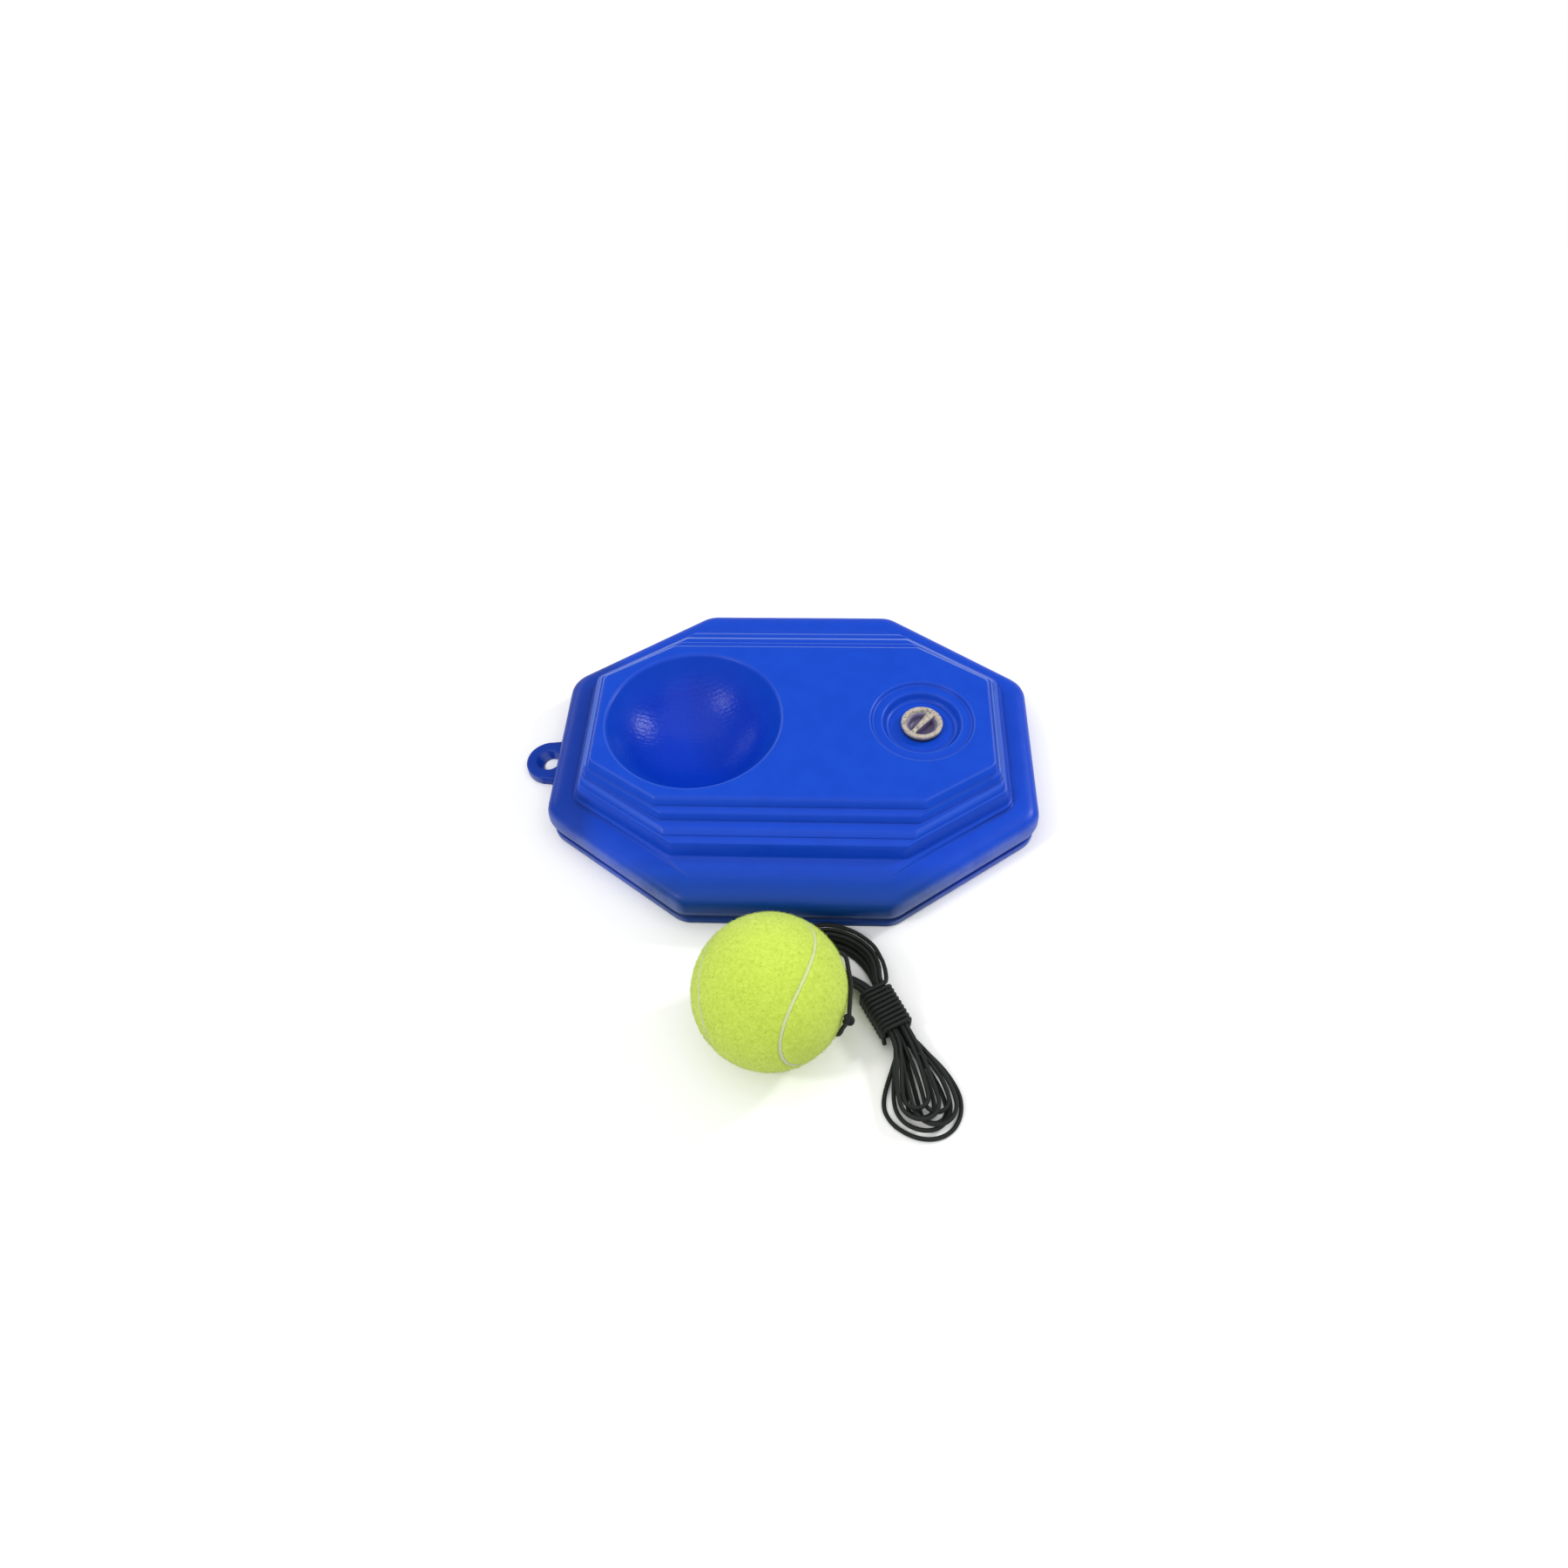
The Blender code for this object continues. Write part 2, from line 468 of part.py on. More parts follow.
def build_plug(plug_finish, rubber_finish):
    """Make the screw plug with its hollow shank and grip bar, and the gasket under it."""
    axis = add_object("plug_axis", None, location=(FILLER_X, 0, CAP_BOTTOM))
    segments = THREAD_SEGMENTS
    hollow = SHANK_ROOT_RADIUS - SHANK_WALL
    dish = CAP_RADIUS - CAP_RIM
    pole = 0.2 * MM
    dish_floor = CAP_HEIGHT - CAP_DISH_DEPTH
    rings = [plain_ring(pole, -SHANK_LENGTH, segments),
             plain_ring(SHANK_ROOT_RADIUS - SHANK_TIP_BEVEL, -SHANK_LENGTH, segments)]
    rings += threaded_rows(SHANK_ROOT_RADIUS, SHANK_CREST_RADIUS,
                           -SHANK_LENGTH + SHANK_TIP_BEVEL, -SHANK_PLAIN_LENGTH, 0.0, segments)
    for radius, height in (
            (SHANK_ROOT_RADIUS, -0.75 * SHANK_PLAIN_LENGTH),
            (SHANK_ROOT_RADIUS, 0.0),
            (CAP_RADIUS - CAP_EDGE, 0.0),
            (CAP_RADIUS, CAP_EDGE),
            (CAP_RADIUS, CAP_HEIGHT - CAP_EDGE),
            (CAP_RADIUS - CAP_EDGE, CAP_HEIGHT),
            (dish, CAP_HEIGHT),
            (dish - CAP_DISH_SLOPE, dish_floor),
            (hollow, dish_floor - CAP_DISH_SLOPE),
            (hollow, -SHANK_LENGTH + SHANK_WALL),
            (pole, -SHANK_LENGTH + SHANK_WALL)):
        rings.append(plain_ring(radius, height, segments))
    plug = add_object("filler_plug", loft("filler_plug", rings, 40), plug_finish, axis)

    half_length = dish + GRIP_BAR_BITE
    half_width = GRIP_BAR_WIDTH / 2
    corners = [(-half_length, -half_width), (half_length, -half_width),
               (half_length, half_width), (-half_length, half_width)]
    turn_cos = math.cos(GRIP_BAR_ANGLE)
    turn_sin = math.sin(GRIP_BAR_ANGLE)
    bar_top = CAP_HEIGHT - GRIP_BAR_SUNK
    bar_rings = []
    for reach, height in ((GRIP_BAR_FOOT, bar_top - GRIP_BAR_HEIGHT), (GRIP_BAR_FOOT, 0.0),
                          (1.0, dish_floor), (1.0, bar_top)):
        bar_rings.append(np.array([
            (x * reach * turn_cos - y * turn_sin, x * reach * turn_sin + y * turn_cos, height)
            for x, y in corners]))
    bar = cutter("grip_bar", loft("grip_bar", bar_rings), (FILLER_X, 0, CAP_BOTTOM))
    combine(plug, bar, "UNION")

    outer = CAP_RADIUS - CAP_EDGE
    inner = outer - GASKET_WIDTH
    profile = [(inner, 0.0), (outer, 0.0), (outer, GASKET_THICKNESS), (inner, GASKET_THICKNESS)]
    add_object("plug_gasket", turned("plug_gasket", profile, 32, joined=True), rubber_finish,
               axis, (0, 0, -GASKET_THICKNESS - GAP))


def seam_frame(t):
    """Return the seam's unit points at angles t and the unit directions across it.

    On the unit ball the seam is x = a cos t + b cos 3t, y = a sin t - b sin 3t,
    z = 2 sqrt(ab) sin 2t, and across is the point crossed with the way along.
    """
    a = SEAM_A
    b = SEAM_B
    lift = 2 * math.sqrt(a * b)
    point = np.stack([a * np.cos(t) + b * np.cos(3 * t), a * np.sin(t) - b * np.sin(3 * t),
                      lift * np.sin(2 * t)], axis=-1)
    along = np.stack([-a * np.sin(t) - 3 * b * np.sin(3 * t),
                      a * np.cos(t) - 3 * b * np.cos(3 * t), 2 * lift * np.cos(2 * t)], axis=-1)
    across = np.cross(point, along)
    across /= np.linalg.norm(across, axis=-1, keepdims=True)
    return point, across


def felt_panel(name):
    """Return one felt panel: the part of the ball's skin on one side of the seam."""
    rows = 36
    columns = 6
    t = np.linspace(-math.pi / 4, 3 * math.pi / 4, rows + 1)
    point, across = seam_frame(t)
    away = (SEAM_WIDTH / 2 + GAP) / BALL_RADIUS
    if across[rows // 2, 2] < 0:
        across = -across
    edge = math.cos(away) * point + math.sin(away) * across
    mirrored = np.stack([-edge[:, 1], -edge[:, 0], edge[:, 2]], axis=1)
    width = np.arccos(np.clip((edge * mirrored).sum(axis=1), -1, 1))
    share = np.linspace(0, 1, columns + 1)
    width = np.maximum(width, 1e-9)[:, None]
    first = np.sin((1 - share) * width) / np.sin(width)
    second = np.sin(share * width) / np.sin(width)
    grid = first[:, :, None] * edge[:, None, :] + second[:, :, None] * mirrored[:, None, :]
    grid[0] = edge[0]
    grid[-1] = edge[-1]
    outer = (grid * BALL_RADIUS).reshape(-1, 3)
    inner = (grid * (BALL_RADIUS - FELT_THICKNESS)).reshape(-1, 3)
    count = len(outer)
    wide = columns + 1
    faces = []
    for row in range(rows):
        for column in range(columns):
            a = row * wide + column
            quad = (a, a + 1, a + wide + 1, a + wide)
            faces.append(quad)
            faces.append(tuple(count + i for i in reversed(quad)))
        for side in (0, columns):
            a = row * wide + side
            faces.append((a, a + wide, count + a + wide, count + a))
    return mesh_from(name, np.concatenate([outer, inner]), clean(faces, outer, inner), 40)


def clean(faces, outer, inner):
    """Drop the repeated corners of faces that shrink to a triangle or an edge at a tip."""
    points = np.concatenate([outer, inner])
    kept = []
    for face in faces:
        corners = []
        for i in face:
            if all(np.linalg.norm(points[i] - points[j]) > 1e-7 for j in corners):
                corners.append(i)
        if len(corners) > 2:
            kept.append(tuple(corners))
    return kept


def seam_strip(name):
    """Return the closed strip of seam cement that lies between the two panels."""
    steps = 72
    t = np.linspace(0, 2 * math.pi, steps, endpoint=False)
    point, across = seam_frame(t)
    half = SEAM_WIDTH / 2 / BALL_RADIUS
    left = math.cos(half) * point - math.sin(half) * across
    right = math.cos(half) * point + math.sin(half) * across
    low = BALL_RADIUS - FELT_THICKNESS
    high = BALL_RADIUS - SEAM_SUNK
    rows = np.stack([left * low, left * high, right * high, right * low], axis=1)
    vertices = rows.reshape(-1, 3)
    faces = []
    for step in range(steps):
        after = (step + 1) % steps
        for side in range(4):
            other = (side + 1) % 4
            faces.append((step * 4 + side, step * 4 + other, after * 4 + other, after * 4 + side))
    return mesh_from(name, vertices, faces, 50)


def core_half(name):
    """Return one rubber half shell, its rim half a gap above the middle plane."""
    outer = BALL_RADIUS - FELT_THICKNESS - CORE_CLEARANCE
    inner = outer - CORE_WALL
    lift = GAP / 2
    profile = []
    for radius, angles in ((outer, np.linspace(CORE_POLE, math.pi / 2, CORE_RINGS)),
                           (inner, np.linspace(math.pi / 2, CORE_POLE, CORE_RINGS))):
        for angle in angles:
            profile.append((radius * math.sin(angle), max(radius * math.cos(angle), lift)))
    return turned(name, profile, CORE_SEGMENTS, 40)


def build_ball(felt_finish, seam_finish, rubber_finish, parent):
    """Make the ball's five pieces, with the hole that its cord goes through."""
    turn = Euler(BALL_TURN, "XYZ")
    centre = BALL_CENTRE - parent.location
    pieces = {}
    for name, mesh, finish, flip in (
            ("felt_panel_a", felt_panel("felt_panel_a"), felt_finish, False),
            ("felt_panel_b", felt_panel("felt_panel_b"), felt_finish, True),
            ("ball_seam", seam_strip("ball_seam"), seam_finish, False),
            ("ball_core_half_a", core_half("ball_core_half_a"), rubber_finish, False),
            ("ball_core_half_b", core_half("ball_core_half_b"), rubber_finish, True)):
        obj = add_object(name, mesh, finish, parent, centre)
        matrix = turn.to_matrix()
        if flip:
            matrix = matrix @ Euler((math.pi, 0, 0)).to_matrix()
        obj.rotation_euler = matrix.to_euler("XYZ")
        pieces[name] = obj
    local = turn.to_matrix().inverted() @ HOLE_DIRECTION
    seam_top = 2 * math.sqrt(SEAM_A * SEAM_B)
    bulge = 2 * seam_top / (1 - seam_top ** 2)
    panel = "felt_panel_a" if local.z > bulge * local.x * local.y else "felt_panel_b"
    half = "ball_core_half_a" if local.z > 0 else "ball_core_half_b"
    profile = [(CORD_HOLE_RADIUS, BALL_RADIUS - CORD_HOLE_DEPTH),
               (CORD_HOLE_RADIUS, BALL_RADIUS - CORD_HOLE_MOUTH_DEPTH),
               (CORD_HOLE_MOUTH_RADIUS, BALL_RADIUS + CORD_HOLE_MOUTH_RISE),
               (CORD_HOLE_MOUTH_RADIUS, BALL_RADIUS + CORD_HOLE_MOUTH_RISE + CUT_PAST)]
    hole = cutter("cord_hole", turned("cord_hole", profile, 12), BALL_CENTRE)
    hole.rotation_euler = HOLE_DIRECTION.to_track_quat("Z", "Y").to_euler()
    combine(pieces[panel], hole, "DIFFERENCE")
    combine(pieces[half], hole, "DIFFERENCE")


def smooth_curve(points, spacing):
    """Return points a spacing apart along a smooth curve through the given points."""
    points = np.array(points, dtype=float)
    padded = np.vstack([2 * points[0] - points[1], points, 2 * points[-1] - points[-2]])
    dense = []
    share = np.linspace(0, 1, 24, endpoint=False)[:, None]
    for i in range(1, len(padded) - 2):
        before, start, end, after = padded[i - 1:i + 3]
        dense.append(0.5 * (2 * start + (end - before) * share
                            + (2 * before - 5 * start + 4 * end - after) * share ** 2
                            + (3 * start - before - 3 * end + after) * share ** 3))
    dense = np.vstack(dense + [points[-1:]])
    length = np.concatenate([[0], np.cumsum(np.linalg.norm(np.diff(dense, axis=0), axis=1))])
    count = max(2, int(round(length[-1] / spacing)) + 1)
    wanted = np.linspace(0, length[-1], count)
    return np.stack([np.interp(wanted, length, dense[:, k]) for k in range(dense.shape[1])],
                    axis=1)


def cord_tube(name, points, finish, parent, sides_resolution):
    """Make one stretch of cord as a round tube along its points."""
    curve = bpy.data.curves.new(name, "CURVE")
    curve.dimensions = "3D"
    curve.bevel_depth = CORD_RADIUS
    curve.bevel_resolution = sides_resolution
    curve.render_resolution_u = 0
    curve.use_fill_caps = True
    spline = curve.splines.new("POLY")
    spline.points.add(len(points) - 1)
    spline.points.foreach_set("co", np.hstack([points, np.ones((len(points), 1))]).ravel())
    return add_object(name, curve, finish, parent, -parent.location)


def knot(name, centre, finish, parent):
    """Make one knot in the cord as a small rounded body."""
    profile = []
    for angle in np.linspace(KNOT_POLE, math.pi - KNOT_POLE, 7):
        profile.append((KNOT_RADIUS * math.sin(angle), -KNOT_RADIUS * math.cos(angle)))
    return add_object(name, turned(name, profile, 10, 60), finish, parent,
                      centre - parent.location)


def hank_place(share, side, height):
    """Return the place beside the hank's spine: share along it, side across it, height up."""
    spine = smooth_curve(np.array(HANK_SPINE) * MM, SPINE_STEP)
    steps = np.linalg.norm(np.diff(spine, axis=0), axis=1)
    along = np.concatenate([[0], np.cumsum(steps)])
    length = along[-1]
    way = np.gradient(spine, along, axis=0)
    way /= np.linalg.norm(way, axis=1, keepdims=True)
    place = np.clip(share, 0, 1) * length
    centre = np.stack([np.interp(place, along, spine[:, k]) for k in (0, 1)], axis=1)
    ahead = np.stack([np.interp(place, along, way[:, k]) for k in (0, 1)], axis=1)
    ahead /= np.linalg.norm(ahead, axis=1, keepdims=True)
    beyond = (share - np.clip(share, 0, 1)) * length
    across = np.stack([-ahead[:, 1], ahead[:, 0]], axis=1)
    flat = centre + ahead * beyond[:, None] + across * side[:, None]
    return np.hstack([flat, height[:, None]]), length


def half_width(share):
    """Return the inner loop's half width along the hank: eye, waist and fan."""
    start, end = HANK_WAIST
    eye = np.clip((start - share) / start, 0, 1)
    fan = np.clip((share - end) / (1 - end), 0, 1)
    eye = eye ** EYE_OPENING
    eye_shape = np.clip(EYE_ROUNDNESS * np.sin(np.pi * eye) + EYE_LENGTHENING * eye, 0, 1.05)
    fan_shape = 0.5 - 0.5 * np.cos(np.pi * fan ** FAN_OPENING)
    return (WAIST_HALF + (EYE_HALF - WAIST_HALF) * eye_shape
            + (FAN_HALF - WAIST_HALF) * fan_shape)


def waist_lift(share):
    """Return how far the hank is held up by the wrap under it, along its length."""
    start, end = HANK_WAIST
    middle = (start + end) / 2
    reach = (end - start) / 2
    past = np.clip((np.abs(share - middle) - reach) / LIFT_RUN, 0, 1)
    return CORD_PITCH * (0.5 + 0.5 * np.cos(np.pi * past))


def hank_points():
    """Return the hank's points: one cord laid in loops that spiral in and out.

    A loop's angle runs down one side of the hank and back up the other.  The lane is how
    many strands out from the inner loop it lies: it changes by one a turn, and holds for
    the half turn in which the cord climbs to the next layer.
    """
    per_layer = HANK_LOOPS_PER_LAYER
    end = (HANK_LAYERS * per_layer + HANK_LAST_PART) * 2 * math.pi
    angle = np.arange(0, end + 1e-6, 2 * math.pi / HANK_LOOP_POINTS)
    widest = per_layer - 0.5
    turns = angle / (2 * math.pi)
    layer_number = np.minimum(np.floor(turns / per_layer), HANK_LAYERS - 1)
    within = turns - layer_number * per_layer
    below_top = layer_number < HANK_LAYERS - 1
    spiral = np.where(below_top, np.minimum(within, widest), within)
    lane = np.where(layer_number % 2 == 0, widest - spiral, spiral)
    climb = np.clip((within - widest) / 0.5, 0, 1) * below_top
    climb = 0.5 - 0.5 * np.cos(np.pi * climb)
    layer = layer_number + climb
    share = 0.5 - 0.5 * np.cos(angle)
    hollow = half_width(share)
    fan = np.clip((share - HANK_WAIST[1]) / (1 - HANK_WAIST[1]), 0, 1)
    eye = np.clip((HANK_WAIST[0] - share) / HANK_WAIST[0], 0, 1)
    waist = np.where(np.sin(angle) < 0, LANE_STEP_CLIMB, LANE_STEP_WAIST)
    step = waist + (LANE_STEP_FAN - waist) * fan + (LANE_STEP_EYE - waist) * eye
    spine_length = hank_place(share, hollow * 0, hollow * 0)[1]
    rounding = np.minimum(1, np.abs(np.sin(angle)) / END_BEND) ** END_FULLNESS
    side = np.sign(np.sin(angle)) * (hollow + lane * step) * rounding
    ends = np.sign(np.cos(angle)) * np.sqrt(1 - rounding ** 2)
    reach = share - ends * lane * step / spine_length
    height = CORD_RADIUS + TABLE_CLEARANCE + layer * CORD_PITCH + waist_lift(share)
    return hank_place(reach, side, height)[0]


def wrap_points(hank):
    """Return the wrap's points: the cord's last turns round the hank's waist.

    One turn runs round the strands one cord pitch out from them, so it is a rectangle with
    rounded corners.  A short run leads in from the hank's end and another leads out.
    """
    right_side = WAIST_HALF + (HANK_LOOPS_PER_LAYER - 0.5) * LANE_STEP_WAIST
    left_side = WAIST_HALF + HANK_LOOPS_PER_LAYER * LANE_STEP_CLIMB
    half_up = (HANK_LAYERS - 1) / 2 * CORD_PITCH
    middle = CORD_RADIUS + TABLE_CLEARANCE + half_up + CORD_PITCH
    radius = CORD_PITCH + WRAP_CLEARANCE
    corner = np.radians(WRAP_CORNER)
    right = right_side + radius * np.cos(corner)
    left = -left_side - radius * np.cos(corner)
    round_z = half_up + radius * np.sin(corner)
    side = np.concatenate([right, [0], left[::-1], [-left_side - radius],
                           left, [0], right[::-1], [right_side + radius]])
    height = middle + np.concatenate([round_z, [half_up + radius], round_z[::-1], [0],
                                      -round_z, [-half_up - radius], -round_z[::-1], [0]])
    index = np.arange(WRAP_TURNS * WRAP_TURN_POINTS - WRAP_TURN_POINTS // 2)
    side = side[index % WRAP_TURN_POINTS]
    height = height[index % WRAP_TURN_POINTS]
    length = hank_place(np.zeros(1), np.zeros(1), np.zeros(1))[1]
    along = HANK_WAIST[0] * length + WRAP_PITCH * index / WRAP_TURN_POINTS
    turns = hank_place(along / length, side, height)[0]
    ahead = (hank[-1] - hank[-2]) / np.linalg.norm(hank[-1] - hank[-2])
    beside = hank_place(np.array([HANK_WAIST[0] - WRAP_START_AHEAD / length]),
                        np.array([right_side + radius + WRAP_START_OUT]),
                        height[:1] - WRAP_START_DROP)[0]
    lead_in = smooth_curve([hank[-1] + ahead * STRAIGHT_END, beside[0], turns[0]],
                           CORD_DIAMETER)[:-1]
    out_share = (along[-1] + np.array(WRAP_END_ALONG)) / length
    lead_out = hank_place(out_share, side[-1] - np.array(WRAP_END_OUT),
                          height[-1] - np.array(WRAP_END_DROP))[0]
    return np.vstack([hank[-1] + ahead * GAP, lead_in, turns, lead_out])


def least_gap(points, skip):
    """Return the smallest gap between stretches of a cord that are not neighbours."""
    parts = []
    for share in np.linspace(0, 1, 8, endpoint=False):
        parts.append(points[:-1] * (1 - share) + points[1:] * share)
    fine = np.stack(parts, axis=1).reshape(-1, 3)
    index = np.arange(len(fine))
    smallest = 1.0
    for i in range(0, len(fine), 4):
        apart = np.linalg.norm(fine - fine[i], axis=1)
        apart[np.abs(index - i) < skip * 8] = 1.0
        smallest = min(smallest, float(apart.min()))
    return smallest - CORD_DIAMETER


def build_cord(finish, parent):
    """Make the cord from the stopper in the ball to the end of the wrap."""
    knot_centre = BALL_CENTRE + KNOT_DIRECTION * (BALL_RADIUS + KNOT_RADIUS + GAP)
    knot("cord_knot", knot_centre, finish, parent)
    inner_radius = BALL_RADIUS - FELT_THICKNESS - CORE_CLEARANCE - CORE_WALL
    stopper_centre = BALL_CENTRE + HOLE_DIRECTION * (inner_radius - KNOT_RADIUS - 2 * GAP)
    knot("cord_stopper", stopper_centre, finish, parent)

    lie = BALL_RADIUS + CORD_RADIUS + GAP
    lead = []
    for share, lift in LEAD_START:
        lead.append(BALL_CENTRE + KNOT_DIRECTION.slerp(TOUCH_DIRECTION, share) * (lie + lift))
    lead += [Vector(p) * MM for p in LEAD_ROUTE]
    hank = hank_points()
    before = (hank[0] - hank[1]) / np.linalg.norm(hank[0] - hank[1])
    lead.append(hank[0] + before * STRAIGHT_END)
    lead_points = np.vstack([smooth_curve([tuple(p) for p in lead], LEAD_SPACING),
                             hank[0] + before * GAP])
    cord_tube("cord_lead", lead_points, finish, parent, 2)

    tail = []
    for share, lift in TAIL_ROUTE:
        tail.append(BALL_CENTRE + KNOT_DIRECTION.slerp(HOLE_DIRECTION, share) * (lie + lift))
    for depth in (TAIL_DEPTH, BALL_RADIUS - inner_radius + GAP):
        tail.append(BALL_CENTRE + HOLE_DIRECTION * (BALL_RADIUS - depth))
    tail_points = smooth_curve([tuple(p) for p in tail], TAIL_SPACING)
    cord_tube("cord_tail", tail_points, finish, parent, 2)

    cord_tube("cord_hank", hank, finish, parent, 1)
    wrap = wrap_points(hank)
    cord_tube("cord_wrap", wrap, finish, parent, 1)
    for name, points in (("lead", lead_points), ("tail", tail_points), ("hank", hank),
                         ("wrap", wrap)):
        length = np.linalg.norm(np.diff(points, axis=0), axis=1).sum()
        skip = 3 if name in ("lead", "tail") else 6
        print(name, "length mm", round(length / MM, 1),
              "least gap to itself mm", round(least_gap(points, skip) / MM, 3))


def build():
    """Build the whole trainer."""
    for obj in list(bpy.data.objects):
        bpy.data.objects.remove(obj)
    base_finish = material("blue_base", (0.014, 0.063, 0.584), 0.38)
    plug_finish = material("cream_plug", (0.62, 0.55, 0.44), 0.5)
    rubber_finish = material("grey_rubber", (0.05, 0.05, 0.055), 0.7)
    felt_finish = material("yellow_felt", (0.58, 0.79, 0.06), 0.95)
    seam_finish = material("pale_seam", (0.62, 0.68, 0.48), 0.7)
    cord_finish = material("black_cord", (0.012, 0.016, 0.014), 0.85)
    build_base(base_finish)
    build_plug(plug_finish, rubber_finish)
    ball_lift = add_object("ball_lift_point", None,
                           location=(BALL_CENTRE.x, BALL_CENTRE.y, 0))
    bpy.context.view_layer.update()
    build_ball(felt_finish, seam_finish, rubber_finish, ball_lift)
    build_cord(cord_finish, ball_lift)


build()
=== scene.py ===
"""Tennis rebound trainer: how its base, plug, ball and cord look.

Metres, +Z up.  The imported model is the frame: the base stands on z = 0 with its cord lug
at -X, the ball lies in front of it at -Y, and the hanked cord lies right of the ball.
"""
from functools import partial
import math

import bmesh
import bpy
import numpy as np
from mathutils import Euler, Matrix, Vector
from mathutils.geometry import delaunay_2d_cdt


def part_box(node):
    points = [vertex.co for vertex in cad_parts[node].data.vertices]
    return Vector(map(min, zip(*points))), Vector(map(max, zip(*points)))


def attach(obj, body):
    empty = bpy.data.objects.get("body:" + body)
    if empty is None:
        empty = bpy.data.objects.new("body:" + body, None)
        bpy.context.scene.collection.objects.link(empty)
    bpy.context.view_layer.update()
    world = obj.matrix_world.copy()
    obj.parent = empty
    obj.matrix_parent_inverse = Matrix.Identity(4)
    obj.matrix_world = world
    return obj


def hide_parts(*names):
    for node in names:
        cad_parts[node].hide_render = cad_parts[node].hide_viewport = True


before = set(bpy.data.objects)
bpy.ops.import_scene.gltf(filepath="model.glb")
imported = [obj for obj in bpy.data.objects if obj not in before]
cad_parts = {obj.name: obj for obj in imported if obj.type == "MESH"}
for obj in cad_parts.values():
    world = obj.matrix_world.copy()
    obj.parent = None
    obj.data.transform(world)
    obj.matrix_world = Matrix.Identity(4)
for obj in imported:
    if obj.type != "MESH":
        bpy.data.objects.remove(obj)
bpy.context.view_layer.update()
MM = 0.001

# Camera
# The photograph looks down on the front of the base from arm's length, a little from the
# right.  The focal length is in pixels of the photograph's own width.
PHOTO_WIDTH = 1800
FOCAL_PIXELS = 1268.6
SENSOR_WIDTH = 36.0


def put_in_scene(name, data):
    """A new object of the data, linked into the scene."""
    made = bpy.data.objects.new(name, data)
    bpy.context.scene.collection.objects.link(made)
    return made


lens = bpy.data.cameras.new("camera")
lens.sensor_width = SENSOR_WIDTH
lens.lens = SENSOR_WIDTH * FOCAL_PIXELS / PHOTO_WIDTH
lens.clip_start = 0.01
camera = put_in_scene("camera", lens)
camera.location = (22.3 * MM, -352.5 * MM, 446.1 * MM)
camera.rotation_euler = (math.radians(37.58), math.radians(1.73), math.radians(2.30))
bpy.context.scene.camera = camera

# Elastic cord
# One round elastic in a braided black cover: knotted inside the ball, out through its
# felt, knotted again outside, then up over the ball's side and down to the table, where
# eight loops of it lie as a hank that its last turns bind at the waist.
CORD_DIAMETER = 1.9 * MM
CORD_RADIUS = CORD_DIAMETER / 2
CORD_PITCH = 2.0 * MM  # between layers, which touch where they are bound
CORD_SIDES = 12
CORD_RING_SPACING = 0.9 * MM
TABLE_CLEARANCE = 0.1 * MM
KNOT_RADIUS = 2.6 * MM
GAP = 0.3 * MM  # between cord or knot and felt
STRAIGHT_END = 2.2 * MM  # before the first loop
BALL_RADIUS = 32.5 * MM
BALL_CENTRE = np.array([-4.6 * MM, -142.8 * MM, BALL_RADIUS])
KNOT_DIRECTION = Vector((0.919, -0.384, 0.087)).normalized()
HOLE_DIRECTION = Vector((0.851, -0.477, -0.217)).normalized()
TOUCH_DIRECTION = Vector((0.963, 0.233, 0.137)).normalized()
TAIL_DEPTHS = (6.6 * MM, 3.5 * MM)  # two points of the tail in the ball
LEAD_ROUTE = np.array([
    (26.6, -127.6, 35.0), (23.4, -121.0, 26.5), (18.6, -118.4, 17.6), (13.2, -118.8, 9.6),
    (8.2, -118.6, 4.2), (4.6, -115.8, 1.4),
]) * MM
HANK_SPINE = np.array([
    (11.9, -107.4), (19.5, -107.6), (27.5, -110.9), (34.0, -117.9), (38.9, -126.6),
    (43.6, -135.5), (48.6, -144.6), (53.2, -154.0), (57.2, -164.0), (60.2, -174.5),
    (62.2, -185.5), (63.0, -196.0),
]) * MM
SPINE_STEP = 0.5 * MM
HANK_LAYERS = 4
LOOPS_PER_LAYER = 2
LOOP_POINTS = 48
LAST_PART = 0.2  # part of a turn that the cord runs past the loops
WAIST = (0.345, 0.57)  # share of the spine that the wrap covers
WAIST_HALF = 1.0 * MM
EYE_HALF = (2.5 * MM, 4.5 * MM)  # right and left of the spine
EYE_ROUNDNESS = 0.6
EYE_LENGTHENING = 0.75
EYE_OPENING = 0.8  # powers that shape how eye and fan open
FAN_OPENING = 1.2
LIFT_RUN = 0.2  # share of the spine over which the hank sinks again
FAN_RUN = 0.6  # share of the fan in which it reaches its full width
FAN_HALF = np.array([16.0, 5.5, 5.5, 11.4, 9.0, 5.2, 5.2, 7.9, 7.9]) * MM  # by loop
FAN_SHIFT = np.array([-1.3, 2.0, -2.5, -1.5, 2.6, 3.9, -4.1, -3.4, -3.4]) * MM
FAN_REACH = np.array([-4.5, -11.0, -13.0, -7.5, -9.0, -14.0, -16.0, -11.0, -11.0]) * MM
FAN_WAVE = 0.3 * MM
FAN_WAVES = 2.3  # along the hank
FAN_WAVE_SHIFT = 1.9  # radians from one loop to the next
SLUMP = 1.4 * MM  # how far a layer has slid out past the one below it
SLUMP_RUN = 0.45
LANE_STEP_WAIST = 1.95 * MM
LANE_STEP_CLIMB = 2.0 * MM
LANE_STEP_EYE = 2.4 * MM
WRAP_TURNS = 10
WRAP_PITCH = 2.15 * MM
WRAP_TURN_POINTS = 16
WRAP_CLEARANCE = 0.1 * MM
